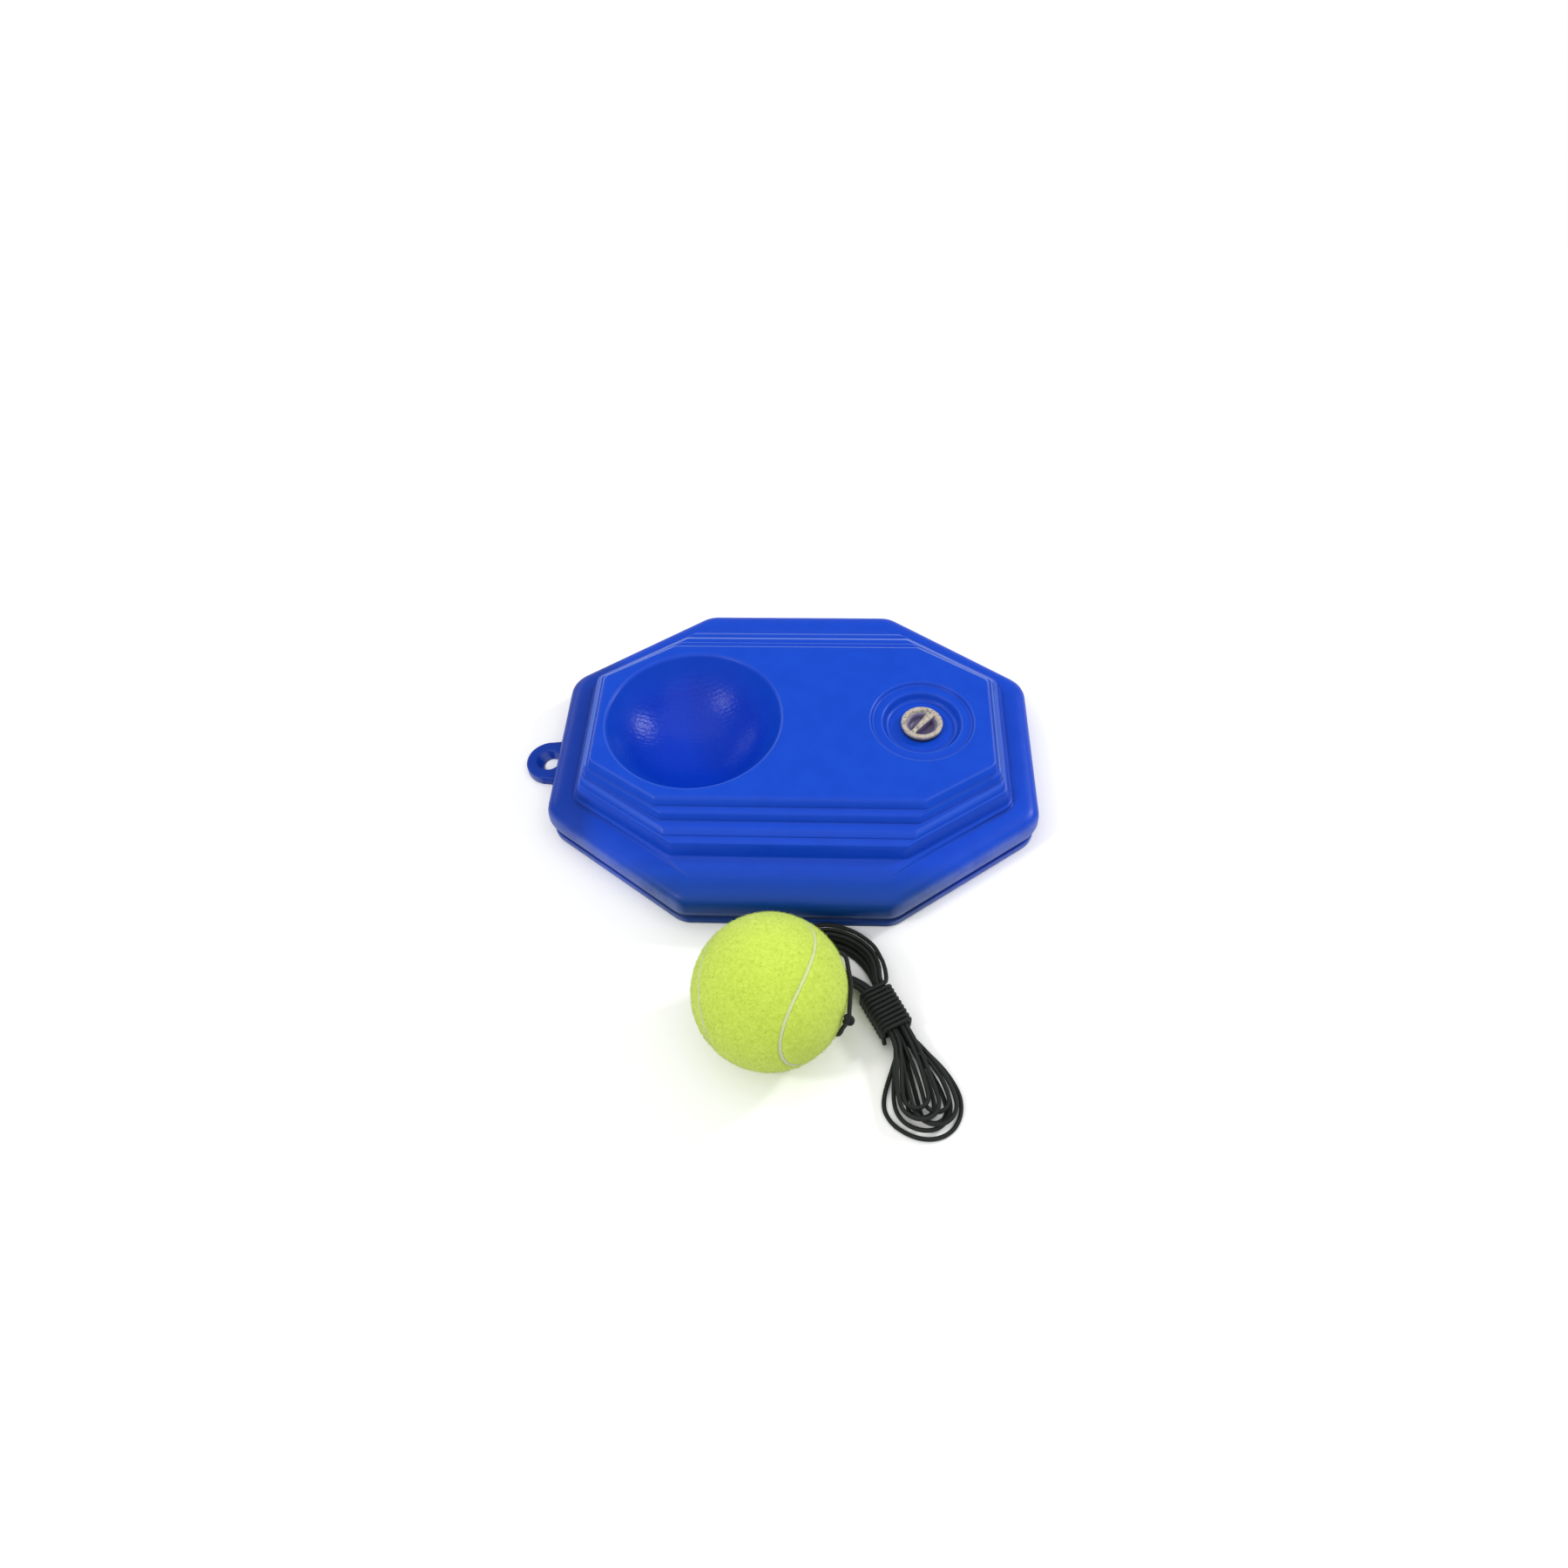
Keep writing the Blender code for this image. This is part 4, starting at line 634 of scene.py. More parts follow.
def plate_patch(outer, holes):
    """The flat plate between an outer ring and round holes: triangles between the rings
    and a lattice of points, every other row of which is moved by half a step."""
    x, y = np.meshgrid(*LATTICE)
    x[1::2] += LATTICE_STEP / 2
    lattice = np.stack([x.ravel(), y.ravel()], axis=1)
    edge = np.roll(outer, -1, axis=0) - outer
    normal = unit(np.stack([-edge[:, 1], edge[:, 0]], axis=1))
    depth = ((lattice[:, None] - outer[None, :]) * normal[None, :]).sum(axis=-1).min(axis=1)
    keep = depth > LATTICE_CLEARANCE
    rounds = [(hole.mean(axis=0), np.linalg.norm(hole[0] - hole.mean(axis=0)))
              for hole in holes]
    for centre, radius in rounds:
        keep &= np.linalg.norm(lattice - centre, axis=1) > radius + LATTICE_CLEARANCE
    loops = [outer, *holes]
    edges = []
    start = 0
    for loop in loops:
        index = np.arange(len(loop))
        edges += (np.stack([index, (index + 1) % len(loop)], axis=1) + start).tolist()
        start += len(loop)
    made = delaunay_2d_cdt([Vector(p) for p in np.vstack([*loops, lattice[keep]])], edges,
                           [], 1, 1e-7)
    flat, triangles = np.array(made[0]), np.array(made[2])
    middles = flat[triangles].mean(axis=1)
    inside = np.ones(len(triangles), dtype=bool)
    for centre, radius in rounds:
        inside &= np.linalg.norm(middles - centre, axis=1) > radius
    return flat, triangles[inside]


def base_mesh():
    """Vertices and faces of the moulding: the outside from the foot up to the plate, the
    plate with its two round openings, the bowl, the filler well and its neck, and the flat
    underside."""
    outside = base_rings()
    bowl = turned_rings(bowl_profile(), BOWL_X, BOWL_SEGMENTS)
    well = turned_rings(filler_profile(), FILLER_X, WELL_SEGMENTS)
    flat, triangles = plate_patch(outside[0, :, :2], [bowl[0, :, :2], well[0, :, :2]])
    upward = outside[::-1]
    parts = [(np.hstack([flat, np.full((len(flat), 1), BASE_HEIGHT)]), triangles)]
    for rings in (upward, bowl, well):
        rows, columns = rings.shape[:2]
        parts.append((rings.reshape(-1, 3), grid_faces(rows, columns, False, True)))
    for ring, flip in ((upward[0], True), (bowl[-1], False), (well[-1], False)):
        middle = ring.mean(axis=0, keepdims=True)
        index = np.arange(1, len(ring) + 1)
        parts.append((np.vstack([middle, ring]), fan_faces(0, index, flip)))
    start = 0
    faces = []
    for points, local in parts:
        faces += (np.asarray(local) + start).tolist()
        start += len(points)
    return np.vstack([points for points, local in parts]), faces


def weld(piece, distance=2e-6):
    """Join the vertices that lie together."""
    shape = bmesh.new()
    shape.from_mesh(piece.data)
    bmesh.ops.remove_doubles(shape, verts=shape.verts, dist=distance)
    shape.to_mesh(piece.data)
    shape.free()
    piece.data.shade_smooth()


def lug_mesh():
    """A flat eye for the cord: the section runs up the hole's funnel, over the top, down
    the rounded rim and back under the bottom, and is carried round between the hole's
    circle and the tongue's outline."""
    turn = once_round(LUG_SEGMENTS)
    half = np.linspace(math.pi / 2, 3 * math.pi / 2, LUG_NOSE_STEPS)
    nose = np.stack([LUG_X + LUG_RADIUS * np.cos(half), LUG_RADIUS * np.sin(half)], axis=1)
    flared = LUG_RADIUS + LUG_FLARE
    root = np.array([(LUG_ROOT_X, -flared), (LUG_ROOT_X, flared)])
    outline = smooth_curve(np.vstack([nose, root[:1]]), 0.3 * MM)
    side = np.vstack([outline, np.linspace(root[0], root[1], LUG_ROOT_STEPS),
                      outline[outline[:, 1] < 0][::-1] * [1, -1]])
    away = side - [LUG_HOLE_X, 0]
    angle = np.arctan2(away[:, 1], away[:, 0]) % (2 * math.pi)
    order = np.argsort(angle)
    reach = np.interp(turn, angle[order], np.linalg.norm(away, axis=1)[order],
                      period=2 * math.pi)
    hole = np.array(LUG_FUNNEL) * [LUG_HOLE_RADIUS, LUG_THICKNESS]
    quarter = np.linspace(0, math.pi / 2, LUG_RIM_STEPS)
    rim = np.stack([LUG_EDGE * (np.sin(quarter) - 1),
                    LUG_THICKNESS + LUG_EDGE * (np.cos(quarter) - 1)], axis=1)
    rim = np.vstack([rim, [(0.0, 0.4 * MM), (-0.35 * MM, 0.0)]])
    radius = np.vstack([np.repeat(hole[:, :1], len(turn), axis=1), reach + rim[:, :1]])
    height = np.concatenate([hole[:, 1], rim[:, 1]])[:, None]
    lean = LUG_FUNNEL_LEAN * np.concatenate([1 - hole[:, 1] / LUG_THICKNESS,
                                             np.zeros(len(rim))])[:, None]
    rings = np.stack([LUG_HOLE_X + lean + radius * np.cos(turn), radius * np.sin(turn),
                      np.repeat(height, len(turn), axis=1)], axis=-1)
    return rings.reshape(-1, 3), grid_faces(len(rings), len(turn), True, True)[:, ::-1]


def lay_over(node, colour, coats):
    """Lay coats over a colour.  A coat is its own colour and what limits it: each limit is
    a measure, where it starts and ends, and the coat's share there, all multiplied."""
    for over, limits in coats:
        share = 1.0
        for k, (measure, start, end, least, most) in enumerate(limits):
            part = node("MapRange", {"Value": measure, "From Min": start, "From Max": end,
                                     "To Min": least, "To Max": most})
            share = node("Math", {0: share, 1: part}, operation="MULTIPLY") if k else part
        colour = node("Mix", {"Factor": share, "A": colour, "B": over}, data_type="RGBA")
    return colour


# Royal blue polyethylene, blow moulded: a satin skin with a fine grain from the mould and
# the slow waviness of a wall that is thicker in one place than another.  Where it was
# stretched most, in the bowl, it is crackled and rippled.  Grain and ripples are too fine
# to show at their real size and are drawn about twice as coarse.
GRAIN_SIZE = 1.8 * MM
CLOUD_SIZE = 9 * MM
WAVE_SIZE = 30 * MM
RIPPLE_SPACING = 2.2 * MM
RIPPLE_TURN = 1.35  # radians from the base's length
BAND_SCALE = 2 * math.pi / 20  # the wave texture's scale for one band a metre
plastic, node, shader, coordinates = new_finish(
    "blow_moulded_polyethylene", "0a3ac4", 0.42, 1.52)
place = coordinates["Object"]
axes = node("SeparateXYZ", {"Vector": place}).outputs
facing = node("SeparateXYZ", {"Vector": coordinates["Normal"]}).outputs
flat = node("VectorMath", {0: place, 1: (1, 1, 0)}, operation="MULTIPLY")
from_bowl, from_filler = (
    node("VectorMath", {0: flat, 1: (x, 0, 0)}, operation="DISTANCE")
    for x in (BOWL_X, FILLER_X))
in_bowl = node("MapRange", {"Value": from_bowl, "From Min": BOWL_RADIUS - 2 * MM,
                            "From Max": BOWL_RADIUS - 12 * MM})
wave, grain, cloud = (
    node("TexNoise", {"Vector": place, "Scale": 1 / size, "Detail": detail,
                      "Roughness": rough})
    for size, detail, rough in ((WAVE_SIZE, 1.5, 0.4), (GRAIN_SIZE, 3.0, 0.65),
                                (CLOUD_SIZE, 4.0, 0.55)))
turned = node("Mapping", {"Vector": place, "Rotation": (0, 0, RIPPLE_TURN)})
ripple = node("TexWave", {"Vector": turned, "Scale": BAND_SCALE / RIPPLE_SPACING,
                          "Distortion": 5.0, "Detail": 2.0, "Detail Scale": 0.6})
rippled = node("Math", {0: in_bowl, 1: 0.3}, operation="MULTIPLY")
crackled = node("MapRange", {"Value": in_bowl, "To Min": 0.08, "To Max": 1.0})
under = {}
for height, strength, depth in ((wave, 0.4, 0.5 * MM),
                                (ripple.outputs["Fac"], rippled, 0.12 * MM),
                                (grain, crackled, 0.22 * MM)):
    under = {"Normal": node("Bump", {"Height": height, "Strength": strength,
                                     "Distance": depth, **under})}
worn = node("MapRange", {"Value": cloud, "To Min": 0.28, "To Max": 0.4})
glossy = node("Math", {0: in_bowl, 1: -0.11, 2: worn}, operation="MULTIPLY_ADD")
sideways = node("Math", {0: facing["X"]}, operation="ABSOLUTE")
backward = node("Math", {0: facing["Y"], 1: 0.0}, operation="MAXIMUM")
# how far a normal turns to a side or the back: the mask for the painted edge highlights
highlight_facing = node("Math", {0: sideways, 1: backward}, operation="ADD")
slanting = node("Math", {0: sideways, 1: facing["Y"]}, operation="MULTIPLY")
# ambient occlusion: the mask for the painted shade in the creases
crease = node("AmbientOcclusion", {"Distance": 3.5 * MM}, samples=8,
              only_local=True).outputs["AO"]
tint = node("Mix", {"Factor": cloud, "A": "0c3fb8", "B": "1048c6"}, data_type="RGBA")
colour = lay_over(node, tint, (
    # a deeper blue in the bowl: painted shade of the hollow
    ("0434b3", ((from_bowl, BOWL_RADIUS - 2 * MM, BOWL_RADIUS - 12 * MM, 0, 1),)),
    # painted highlights: paler where the rounded edges of terraces and recess face a side or the
    # back
    ("7fa6f2", ((highlight_facing, 0.1, 0.4, 0, 0.42), (facing["Z"], 0.78, 0.9, 0, 1),
                (facing["Z"], 0.975, 0.945, 0, 1), (facing["Y"], -0.3, -0.1, 0.4, 1),
                (axes["Z"], 28 * MM, 30 * MM, 0, 1),
                (from_bowl, BOWL_RADIUS + 1.2 * MM, BOWL_RADIUS + 1.6 * MM, 0.25, 1),
                (from_filler, 31 * MM, 33 * MM, 0.35, 1),
                (from_bowl, BOWL_RADIUS - 4 * MM, BOWL_RADIUS - MM, 0, 1))),
    # painted shade: darker and greener low down on the front wall
    ("053472", ((axes["Z"], 26 * MM, 17 * MM, 0, 0.95),
                (axes["Y"], -70 * MM, -85 * MM, 0, 1))),
    # painted shade: a deeper blue on the left shoulder
    ("0a2a78", ((axes["X"], -90 * MM, -100 * MM, 0, 0.55),
                (axes["Z"], 28 * MM, 25 * MM, 0, 1))),
    # painted reflection: pale bands on the slanting front walls, broken up by the cloud noise
    ("7f8fc8", ((slanting, -0.12, -0.38, 0, 0.4), (axes["Z"], 21 * MM, 17 * MM, 0, 1),
                (cloud, 0.2, 0.6, 0.4, 1))),
    # painted shade in the creases at the risers' feet and in the parting groove, from ambient
    # occlusion
    ("041c60", ((crease, 0.5, 0.92, 0.6, 0),)),
))
node(shader, {"Base Color": colour, "Roughness": glossy, "Specular IOR Level": 0.15, **under})

weld(add_piece("base_moulding", *base_mesh(), plastic, "base", "base_plastic",
               ("base_shell",)))
add_piece("cord_lug", *lug_mesh(), plastic, "base", "base_plastic")

# Filler plug
# A cream polyethylene screw cap that was moulded in one piece: a rounded rim, a hollow
# shank with a thread, and a bar across the hollow to turn it by.  A rubber ring seals it.
CAP_BOTTOM = BASE_HEIGHT - RECESS_DEPTH + 1.6 * MM
CAP_RADIUS = 10.1 * MM
CAP_HEIGHT = 2.1 * MM
CAP_RIM = 2.4 * MM
CAP_DISH = 1.6 * MM
SHANK_RADIUS = 7.4 * MM
SHANK_CREST = 8.2 * MM
SHANK_WALL = 1.3 * MM
SHANK_LENGTH = 11.0 * MM
SHANK_PLAIN = 1.2 * MM  # without thread, under the cap
SHANK_BEVEL = 0.3 * MM
HOLLOW_DEPTH = 3.0 * MM  # below the cap; the photograph shows its floor
PLUG_SEGMENTS = 96
THREAD_ROWS = 44
CAP_EDGE = 0.7 * MM  # radius round the rim's top
THREAD_PITCH = 3.0 * MM
BAR_ANGLE = math.radians(52)
BAR_BITE = 0.8 * MM  # how far its ends run into the rim
BAR_FOOT = 0.78  # share of its length that goes down the hollow
BAR_SUNK = 0.3 * MM
BAR_SAG = 0.25 * MM
BAR_WIDTH = (1.2, 2.4)  # half width in mm, at its narrow and its wide end
BAR_STEPS = 30
BAR_SIDES = 28


def thread_rings(low, high):
    """A right-handed thread: the radius rises from root to crest and falls again once a
    pitch, and each ring's place in the pitch turns with the angle."""
    share = np.linspace(0, 1, PLUG_SEGMENTS, endpoint=False)
    height = np.linspace(low, high, THREAD_ROWS)[:, None]
    turn = (height / THREAD_PITCH - share) % 1.0
    ridge = np.clip(np.minimum((turn - 0.25) / 0.2, (1.0 - turn) / 0.2), 0, 1)
    ridge = ridge * ridge * (3 - 2 * ridge)
    radius = SHANK_RADIUS + (SHANK_CREST - SHANK_RADIUS) * ridge
    angle = 2 * math.pi * share
    up = np.broadcast_to(CAP_BOTTOM + height, radius.shape)
    return np.stack([FILLER_X + radius * np.cos(angle), radius * np.sin(angle), up], axis=-1)


def plug_mesh():
    """The cap and shank as one skin: up the threaded outside, over the rounded rim, down
    into the hollow, and closed at both ends."""
    quarter = np.linspace(0, math.pi / 2, 5)
    hollow = SHANK_RADIUS - SHANK_WALL
    dish = CAP_RADIUS - CAP_RIM
    lower = np.array([(SHANK_RADIUS - SHANK_BEVEL, -SHANK_LENGTH)])
    rim = np.stack([CAP_RADIUS - CAP_EDGE * (1 - np.cos(quarter)),
                    CAP_HEIGHT - CAP_EDGE * (1 - np.sin(quarter))], axis=1)
    upper = np.vstack([[(SHANK_RADIUS, -0.75 * SHANK_PLAIN), (SHANK_RADIUS, 0.0),
                        (CAP_RADIUS - 0.4 * MM, 0.0), (CAP_RADIUS, 0.4 * MM)], rim,
                       [(dish + 0.5 * MM, CAP_HEIGHT), (dish + 0.1 * MM, CAP_HEIGHT - 0.25 * MM),
                        (dish - 0.1 * MM, CAP_HEIGHT - CAP_DISH + 0.3 * MM),
                        (dish - 0.5 * MM, CAP_HEIGHT - CAP_DISH), (hollow + 0.3 * MM, 0.3 * MM),
                        (hollow, 0.0), (hollow, MM - HOLLOW_DEPTH),
                        (hollow - MM, -HOLLOW_DEPTH)]])
    rings = np.vstack([turned_rings(lower + [0, CAP_BOTTOM], FILLER_X, PLUG_SEGMENTS),
                       thread_rings(-SHANK_LENGTH + SHANK_BEVEL, -SHANK_PLAIN),
                       turned_rings(upper + [0, CAP_BOTTOM], FILLER_X, PLUG_SEGMENTS)])
    points = rings.reshape(-1, 3)
    count = len(points)
    faces = grid_faces(len(rings), PLUG_SEGMENTS, False, True).tolist()
    ends = np.array([(FILLER_X, 0, CAP_BOTTOM - SHANK_LENGTH),
                     (FILLER_X, 0, CAP_BOTTOM - HOLLOW_DEPTH)])
    faces += fan_faces(count, np.arange(PLUG_SEGMENTS), True).tolist()
    faces += fan_faces(count + 1, np.arange(count - PLUG_SEGMENTS, count), False).tolist()
    return np.vstack([points, ends]), faces


def bar_mesh():
    """The grip bar: a rounded section that is wide at one end of the bar and narrow at
    the other, and sags a little in its middle."""
    half = CAP_RADIUS - CAP_RIM + BAR_BITE
    along = np.linspace(-half, half, BAR_STEPS)[:, None]
    share = (along / half + 1) / 2
    width = (BAR_WIDTH[0] + (BAR_WIDTH[1] - BAR_WIDTH[0]) * share ** 1.4) * MM
    turn = once_round(BAR_SIDES)[None, :]
    square = (np.abs(np.cos(turn)) ** 4 + np.abs(np.sin(turn)) ** 4) ** -0.25
    foot = BAR_FOOT * half
    inner = np.minimum(1, foot / np.maximum(np.abs(along), 1e-9))
    across = width * square * np.cos(turn)
    top = CAP_HEIGHT - BAR_SUNK - BAR_SAG * np.cos(np.pi * along / half / 2)
    low = np.where(inner >= 1, -HOLLOW_DEPTH - 0.3 * MM, CAP_HEIGHT - CAP_DISH - 0.2 * MM)
    up = (top + low) / 2 + (top - low) / 2 * square * np.sin(turn)
    x = along * math.cos(BAR_ANGLE) - across * math.sin(BAR_ANGLE)
    y = along * math.sin(BAR_ANGLE) + across * math.cos(BAR_ANGLE)
    rings = np.stack([FILLER_X + x, y, CAP_BOTTOM + up], axis=-1)
    return rings.reshape(-1, 3), tube_faces(len(rings), turn.size)


# Natural polyethylene, injection moulded: cream, soft edged and a little translucent.  Its
# thin hollow is painted dark and purplish as shade.
cream, node, shader, coordinates = new_finish(
    "injection_moulded_polyethylene", "c9bfae", 0.42, 1.52)
place = coordinates["Object"]
height = node("SeparateXYZ", {"Vector": place}).outputs["Z"]
flat = node("VectorMath", {0: place, 1: (1, 1, 0)}, operation="MULTIPLY")
reach = node("VectorMath", {0: flat, 1: (FILLER_X, 0, 0)}, operation="DISTANCE")
cloud = node("TexNoise", {"Vector": place, "Scale": 1 / (1.6 * MM), "Detail": 4.0,
                          "Roughness": 0.6})
stain = node("TexNoise", {"Vector": place, "Scale": 1 / (2.6 * MM), "Detail": 5.0,
                          "Roughness": 0.7, "Distortion": 1.2})
tint = node("Mix", {"Factor": cloud, "A": "a59b8c", "B": "c9c0b0"}, data_type="RGBA")
# the colours of the painted shade in the hollow
hollow_shade = node("Mix", {"Factor": stain, "A": "2c2450", "B": "8478a4"}, data_type="RGBA")
colour = lay_over(node, tint, (
    # painted shade in the hollow, mottled dark purple
    (hollow_shade, ((reach, SHANK_RADIUS + 0.1 * MM, SHANK_RADIUS - 0.3 * MM, 0, 1),
            (height, CAP_BOTTOM + 1.5 * MM, CAP_BOTTOM + 0.7 * MM, 0, 1))),
    # grime
    ("57535f", ((stain, 0.5, 0.6, 0, 0.75),)),
))
bump = node("Bump", {"Height": stain, "Strength": 0.5, "Distance": 0.2 * MM})
node(shader, {"Base Color": colour, "Normal": bump, "Subsurface Weight": 0.15,
              "Subsurface Radius": (1.0, 0.8, 0.6), "Subsurface Scale": 0.8 * MM})

plug_points, plug_faces = plug_mesh()
bar_points, bar_faces = bar_mesh()
shifted = [[i + len(plug_points) for i in face] for face in bar_faces]
add_piece("screw_plug", np.vstack([plug_points, bar_points]), plug_faces + shifted, cream,
          "plug", "plug_plastic", ("filler_plug",))

# Black nitrile rubber: the ring under the cap.  Its CAD shape is right and keeps its mesh.
nitrile, node, shader, coordinates = new_finish("nitrile_rubber", "1c1c1e", 0.7)
place = coordinates["Object"]
dust = node("TexNoise", {"Vector": place, "Scale": 1 / (0.4 * MM), "Detail": 3.0})
tint = node("Mix", {"Factor": dust, "A": "151517", "B": "2a2a2c"}, data_type="RGBA")
bump = node("Bump", {"Height": dust, "Strength": 0.3, "Distance": 0.05 * MM})
node(shader, {"Base Color": tint, "Normal": bump})
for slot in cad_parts["plug_gasket"].material_slots:
    slot.material = nitrile

# Ball
# Two rubber half shells glued into a core, two dog-bone panels of brushed felt over them,
# and the pale cement that fills the seam where the panels meet.
BALL_TURN = Euler((4.629, 0.5535, 5.930), "XYZ")  # as the seam lies in the photograph
FELT_THICKNESS = 2.5 * MM
FELT_EDGE = 1.2 * MM  # how far from the seam the felt rounds down
FELT_EDGE_DROP = 0.35 * MM
SEAM_WIDTH = 1.5 * MM
SEAM_SUNK = 0.2 * MM
SEAM_CLEARANCE = 0.05 * MM
SEAM_A = 0.75
SEAM_B = 0.25
SEAM_STEPS = 420
PANEL_GRID = (150, 40)  # rows along and columns across a panel
FUZZ_COUNT = 11000  # on each panel
FUZZ_RADIUS = 0.045 * MM
FUZZ_LENGTH = 1.5 * MM
FUZZ_SPREAD = (0.5, 1.25)  # shortest and longest, as shares of that length
FUZZ_SLANT = (0.5, 2.4)  # how far a fibre leans for each step outwards
FUZZ_STATIONS = (-0.15, 0.4, 0.75, 1.0)  # its three rings and tip, as shares of its length
FUZZ_TAPER = (1.0, 0.85, 0.6)
TABLE_GAP = 0.03 * MM  # fibres under the ball are pressed flat to this
turn_matrix = np.array(BALL_TURN.to_matrix())


def seam_frame(t):
    """The seam's unit points at angles t and the unit directions across it: x = a cos t
    + b cos 3t, y = a sin t - b sin 3t, z = 2 sqrt(ab) sin 2t."""
    lift = 2 * math.sqrt(SEAM_A * SEAM_B)
    point = np.stack([SEAM_A * np.cos(t) + SEAM_B * np.cos(3 * t),
                      SEAM_A * np.sin(t) - SEAM_B * np.sin(3 * t), lift * np.sin(2 * t)], axis=-1)
    along = np.stack([-SEAM_A * np.sin(t) - 3 * SEAM_B * np.sin(3 * t),
                      SEAM_A * np.cos(t) - 3 * SEAM_B * np.cos(3 * t),
                      2 * lift * np.cos(2 * t)], axis=-1)
    return point, unit(np.cross(point, along))


def panel_grid(rows, columns):
    """Unit points over one panel: each row is the arc from one edge of the panel to the
    edge opposite, and rows follow the seam."""
    t = np.linspace(-math.pi / 4, 3 * math.pi / 4, rows + 1)
    point, across = seam_frame(t)
    away = (SEAM_WIDTH / 2 + SEAM_CLEARANCE) / BALL_RADIUS
    edge = math.cos(away) * point + math.sin(away) * across
    mirrored = np.stack([-edge[:, 1], -edge[:, 0], edge[:, 2]], axis=1)
    width = np.arccos(np.clip((edge * mirrored).sum(axis=1), -1, 1))
    width = np.maximum(width, 1e-9)[:, None]
    share = 0.5 - 0.5 * np.cos(np.pi * np.linspace(0, 1, columns + 1))
    first = np.sin((1 - share) * width) / np.sin(width)
    second = np.sin(share * width) / np.sin(width)
    return first[:, :, None] * edge[:, None] + second[:, :, None] * mirrored[:, None]


def place_panel(points, flip):
    """Points of one panel on the ball: the other panel is the same, turned over."""
    return points * ([1, -1, -1] if flip else 1) @ turn_matrix.T + BALL_CENTRE


def felt_mesh(flip):
    """A panel's skin: its outside is the ball's sphere, rounded down towards the seam over
    the last millimetre, and its back lies on the core."""
    grid = panel_grid(*PANEL_GRID)
    point = seam_frame(once_round(720))[0]
    nearest = np.arccos(np.clip((grid.reshape(-1, 3) @ point.T).max(axis=1), -1, 1))
    from_seam = (nearest * BALL_RADIUS - SEAM_WIDTH / 2).reshape(grid.shape[:2])
    drop = FELT_EDGE_DROP * np.clip(1 - from_seam / FELT_EDGE, 0, 1) ** 2
    outer = grid * (BALL_RADIUS - drop)[:, :, None]
    inner = grid * (BALL_RADIUS - FELT_THICKNESS)
    rows, columns = grid.shape[:2]
    sheet = grid_faces(rows, columns)
    count = rows * columns
    index = np.arange(count).reshape(rows, columns)
    border = np.concatenate([index[0], index[1:, -1], index[-1, -2::-1], index[-2:0:-1, 0]])
    after = np.roll(border, -1)
    wall = np.stack([border, after, after + count, border + count], axis=1)
    faces = np.vstack([sheet[:, ::-1], sheet + count, wall])
    points = np.vstack([outer.reshape(-1, 3), inner.reshape(-1, 3)])
    return place_panel(points, flip), faces


def fuzz_mesh(flip, seed):
    """Fibres brushed out of the felt: each is a three-sided hair of three rings and a tip
    that leaves the skin at a slant and bends over."""
    chance = np.random.default_rng(seed)
    spread = unit(chance.normal(size=(FUZZ_COUNT * 5, 3)))
    grid = panel_grid(60, 24).reshape(-1, 3)
    seam = seam_frame(once_round(360))[0]
    on_seam = (spread @ seam.T).max(axis=1)
    on_panel = (spread @ grid.T).max(axis=1)
    clear = np.arccos(np.clip(on_seam, -1, 1)) * BALL_RADIUS > SEAM_WIDTH / 2 + 0.1 * MM
    inside = np.arccos(np.clip(on_panel, -1, 1)) * BALL_RADIUS < 1.6 * MM
    root = spread[clear & inside][:FUZZ_COUNT]
    count = len(root)
    lean = unit(np.cross(root, chance.normal(size=(count, 3))))
    slant = chance.uniform(*FUZZ_SLANT, (count, 1, 1))
    length = FUZZ_LENGTH * chance.uniform(*FUZZ_SPREAD, (count, 1, 1))
    share = np.array(FUZZ_STATIONS)[None, :, None]
    out = length * share * (1 - 0.35 * share)
    line = (root[:, None] * (BALL_RADIUS - 0.1 * MM + out / np.sqrt(1 + slant ** 2))
            + lean[:, None] * out * slant / np.sqrt(1 + slant ** 2) * (0.6 + 0.5 * share))
    first = unit(np.cross(root, lean))[:, None, None]
    second = lean[:, None, None]
    angle = np.array([0, 2 * math.pi / 3, 4 * math.pi / 3])[None, None, :, None]
    thin = np.array(FUZZ_TAPER)[None, :, None, None] * FUZZ_RADIUS
    rings = line[:, :3, None] + thin * (np.cos(angle) * first + np.sin(angle) * second)
    points = np.concatenate([rings.reshape(count, 9, 3), line[:, 3:]], axis=1)
    wall = [(a, a + 3, b + 3, b) for a, b in ((0, 1), (1, 2), (2, 0), (3, 4), (4, 5), (5, 3))]
    quads = (np.array(wall)[None] + np.arange(count)[:, None, None] * 10).reshape(-1, 4)
    tips = np.array([(6, 9, 7), (7, 9, 8), (8, 9, 6), (0, 1, 2)])
    tips = (tips[None] + np.arange(count)[:, None, None] * 10).reshape(-1, 3)
    points = place_panel(points.reshape(-1, 3), flip)
    points[:, 2] = np.maximum(points[:, 2], TABLE_GAP)
    return points, quads.tolist() + tips.tolist()


def seam_mesh():
    """The cement's closed band: a section with a shallow hollow on top, carried round the
    seam curve."""
    point, across = seam_frame(once_round(SEAM_STEPS))
    side = np.array([-1, -1, -0.8, -0.4, 0, 0.4, 0.8, 1, 1])
    sunk = SEAM_SUNK + np.array([0.25, 0, 0.1, 0.14, 0.1, 0, 0.25]) * MM
    sunk = np.concatenate([[FELT_THICKNESS], sunk, [FELT_THICKNESS]])
    half = SEAM_WIDTH / 2 / BALL_RADIUS
    turn = half * side[None, :, None]
    rings = ((np.cos(turn) * point[:, None] + np.sin(turn) * across[:, None])
             * (BALL_RADIUS - sunk)[None, :, None])
    faces = grid_faces(SEAM_STEPS, len(side), True, True)[:, ::-1]
    return rings.reshape(-1, 3) @ turn_matrix.T + BALL_CENTRE, faces


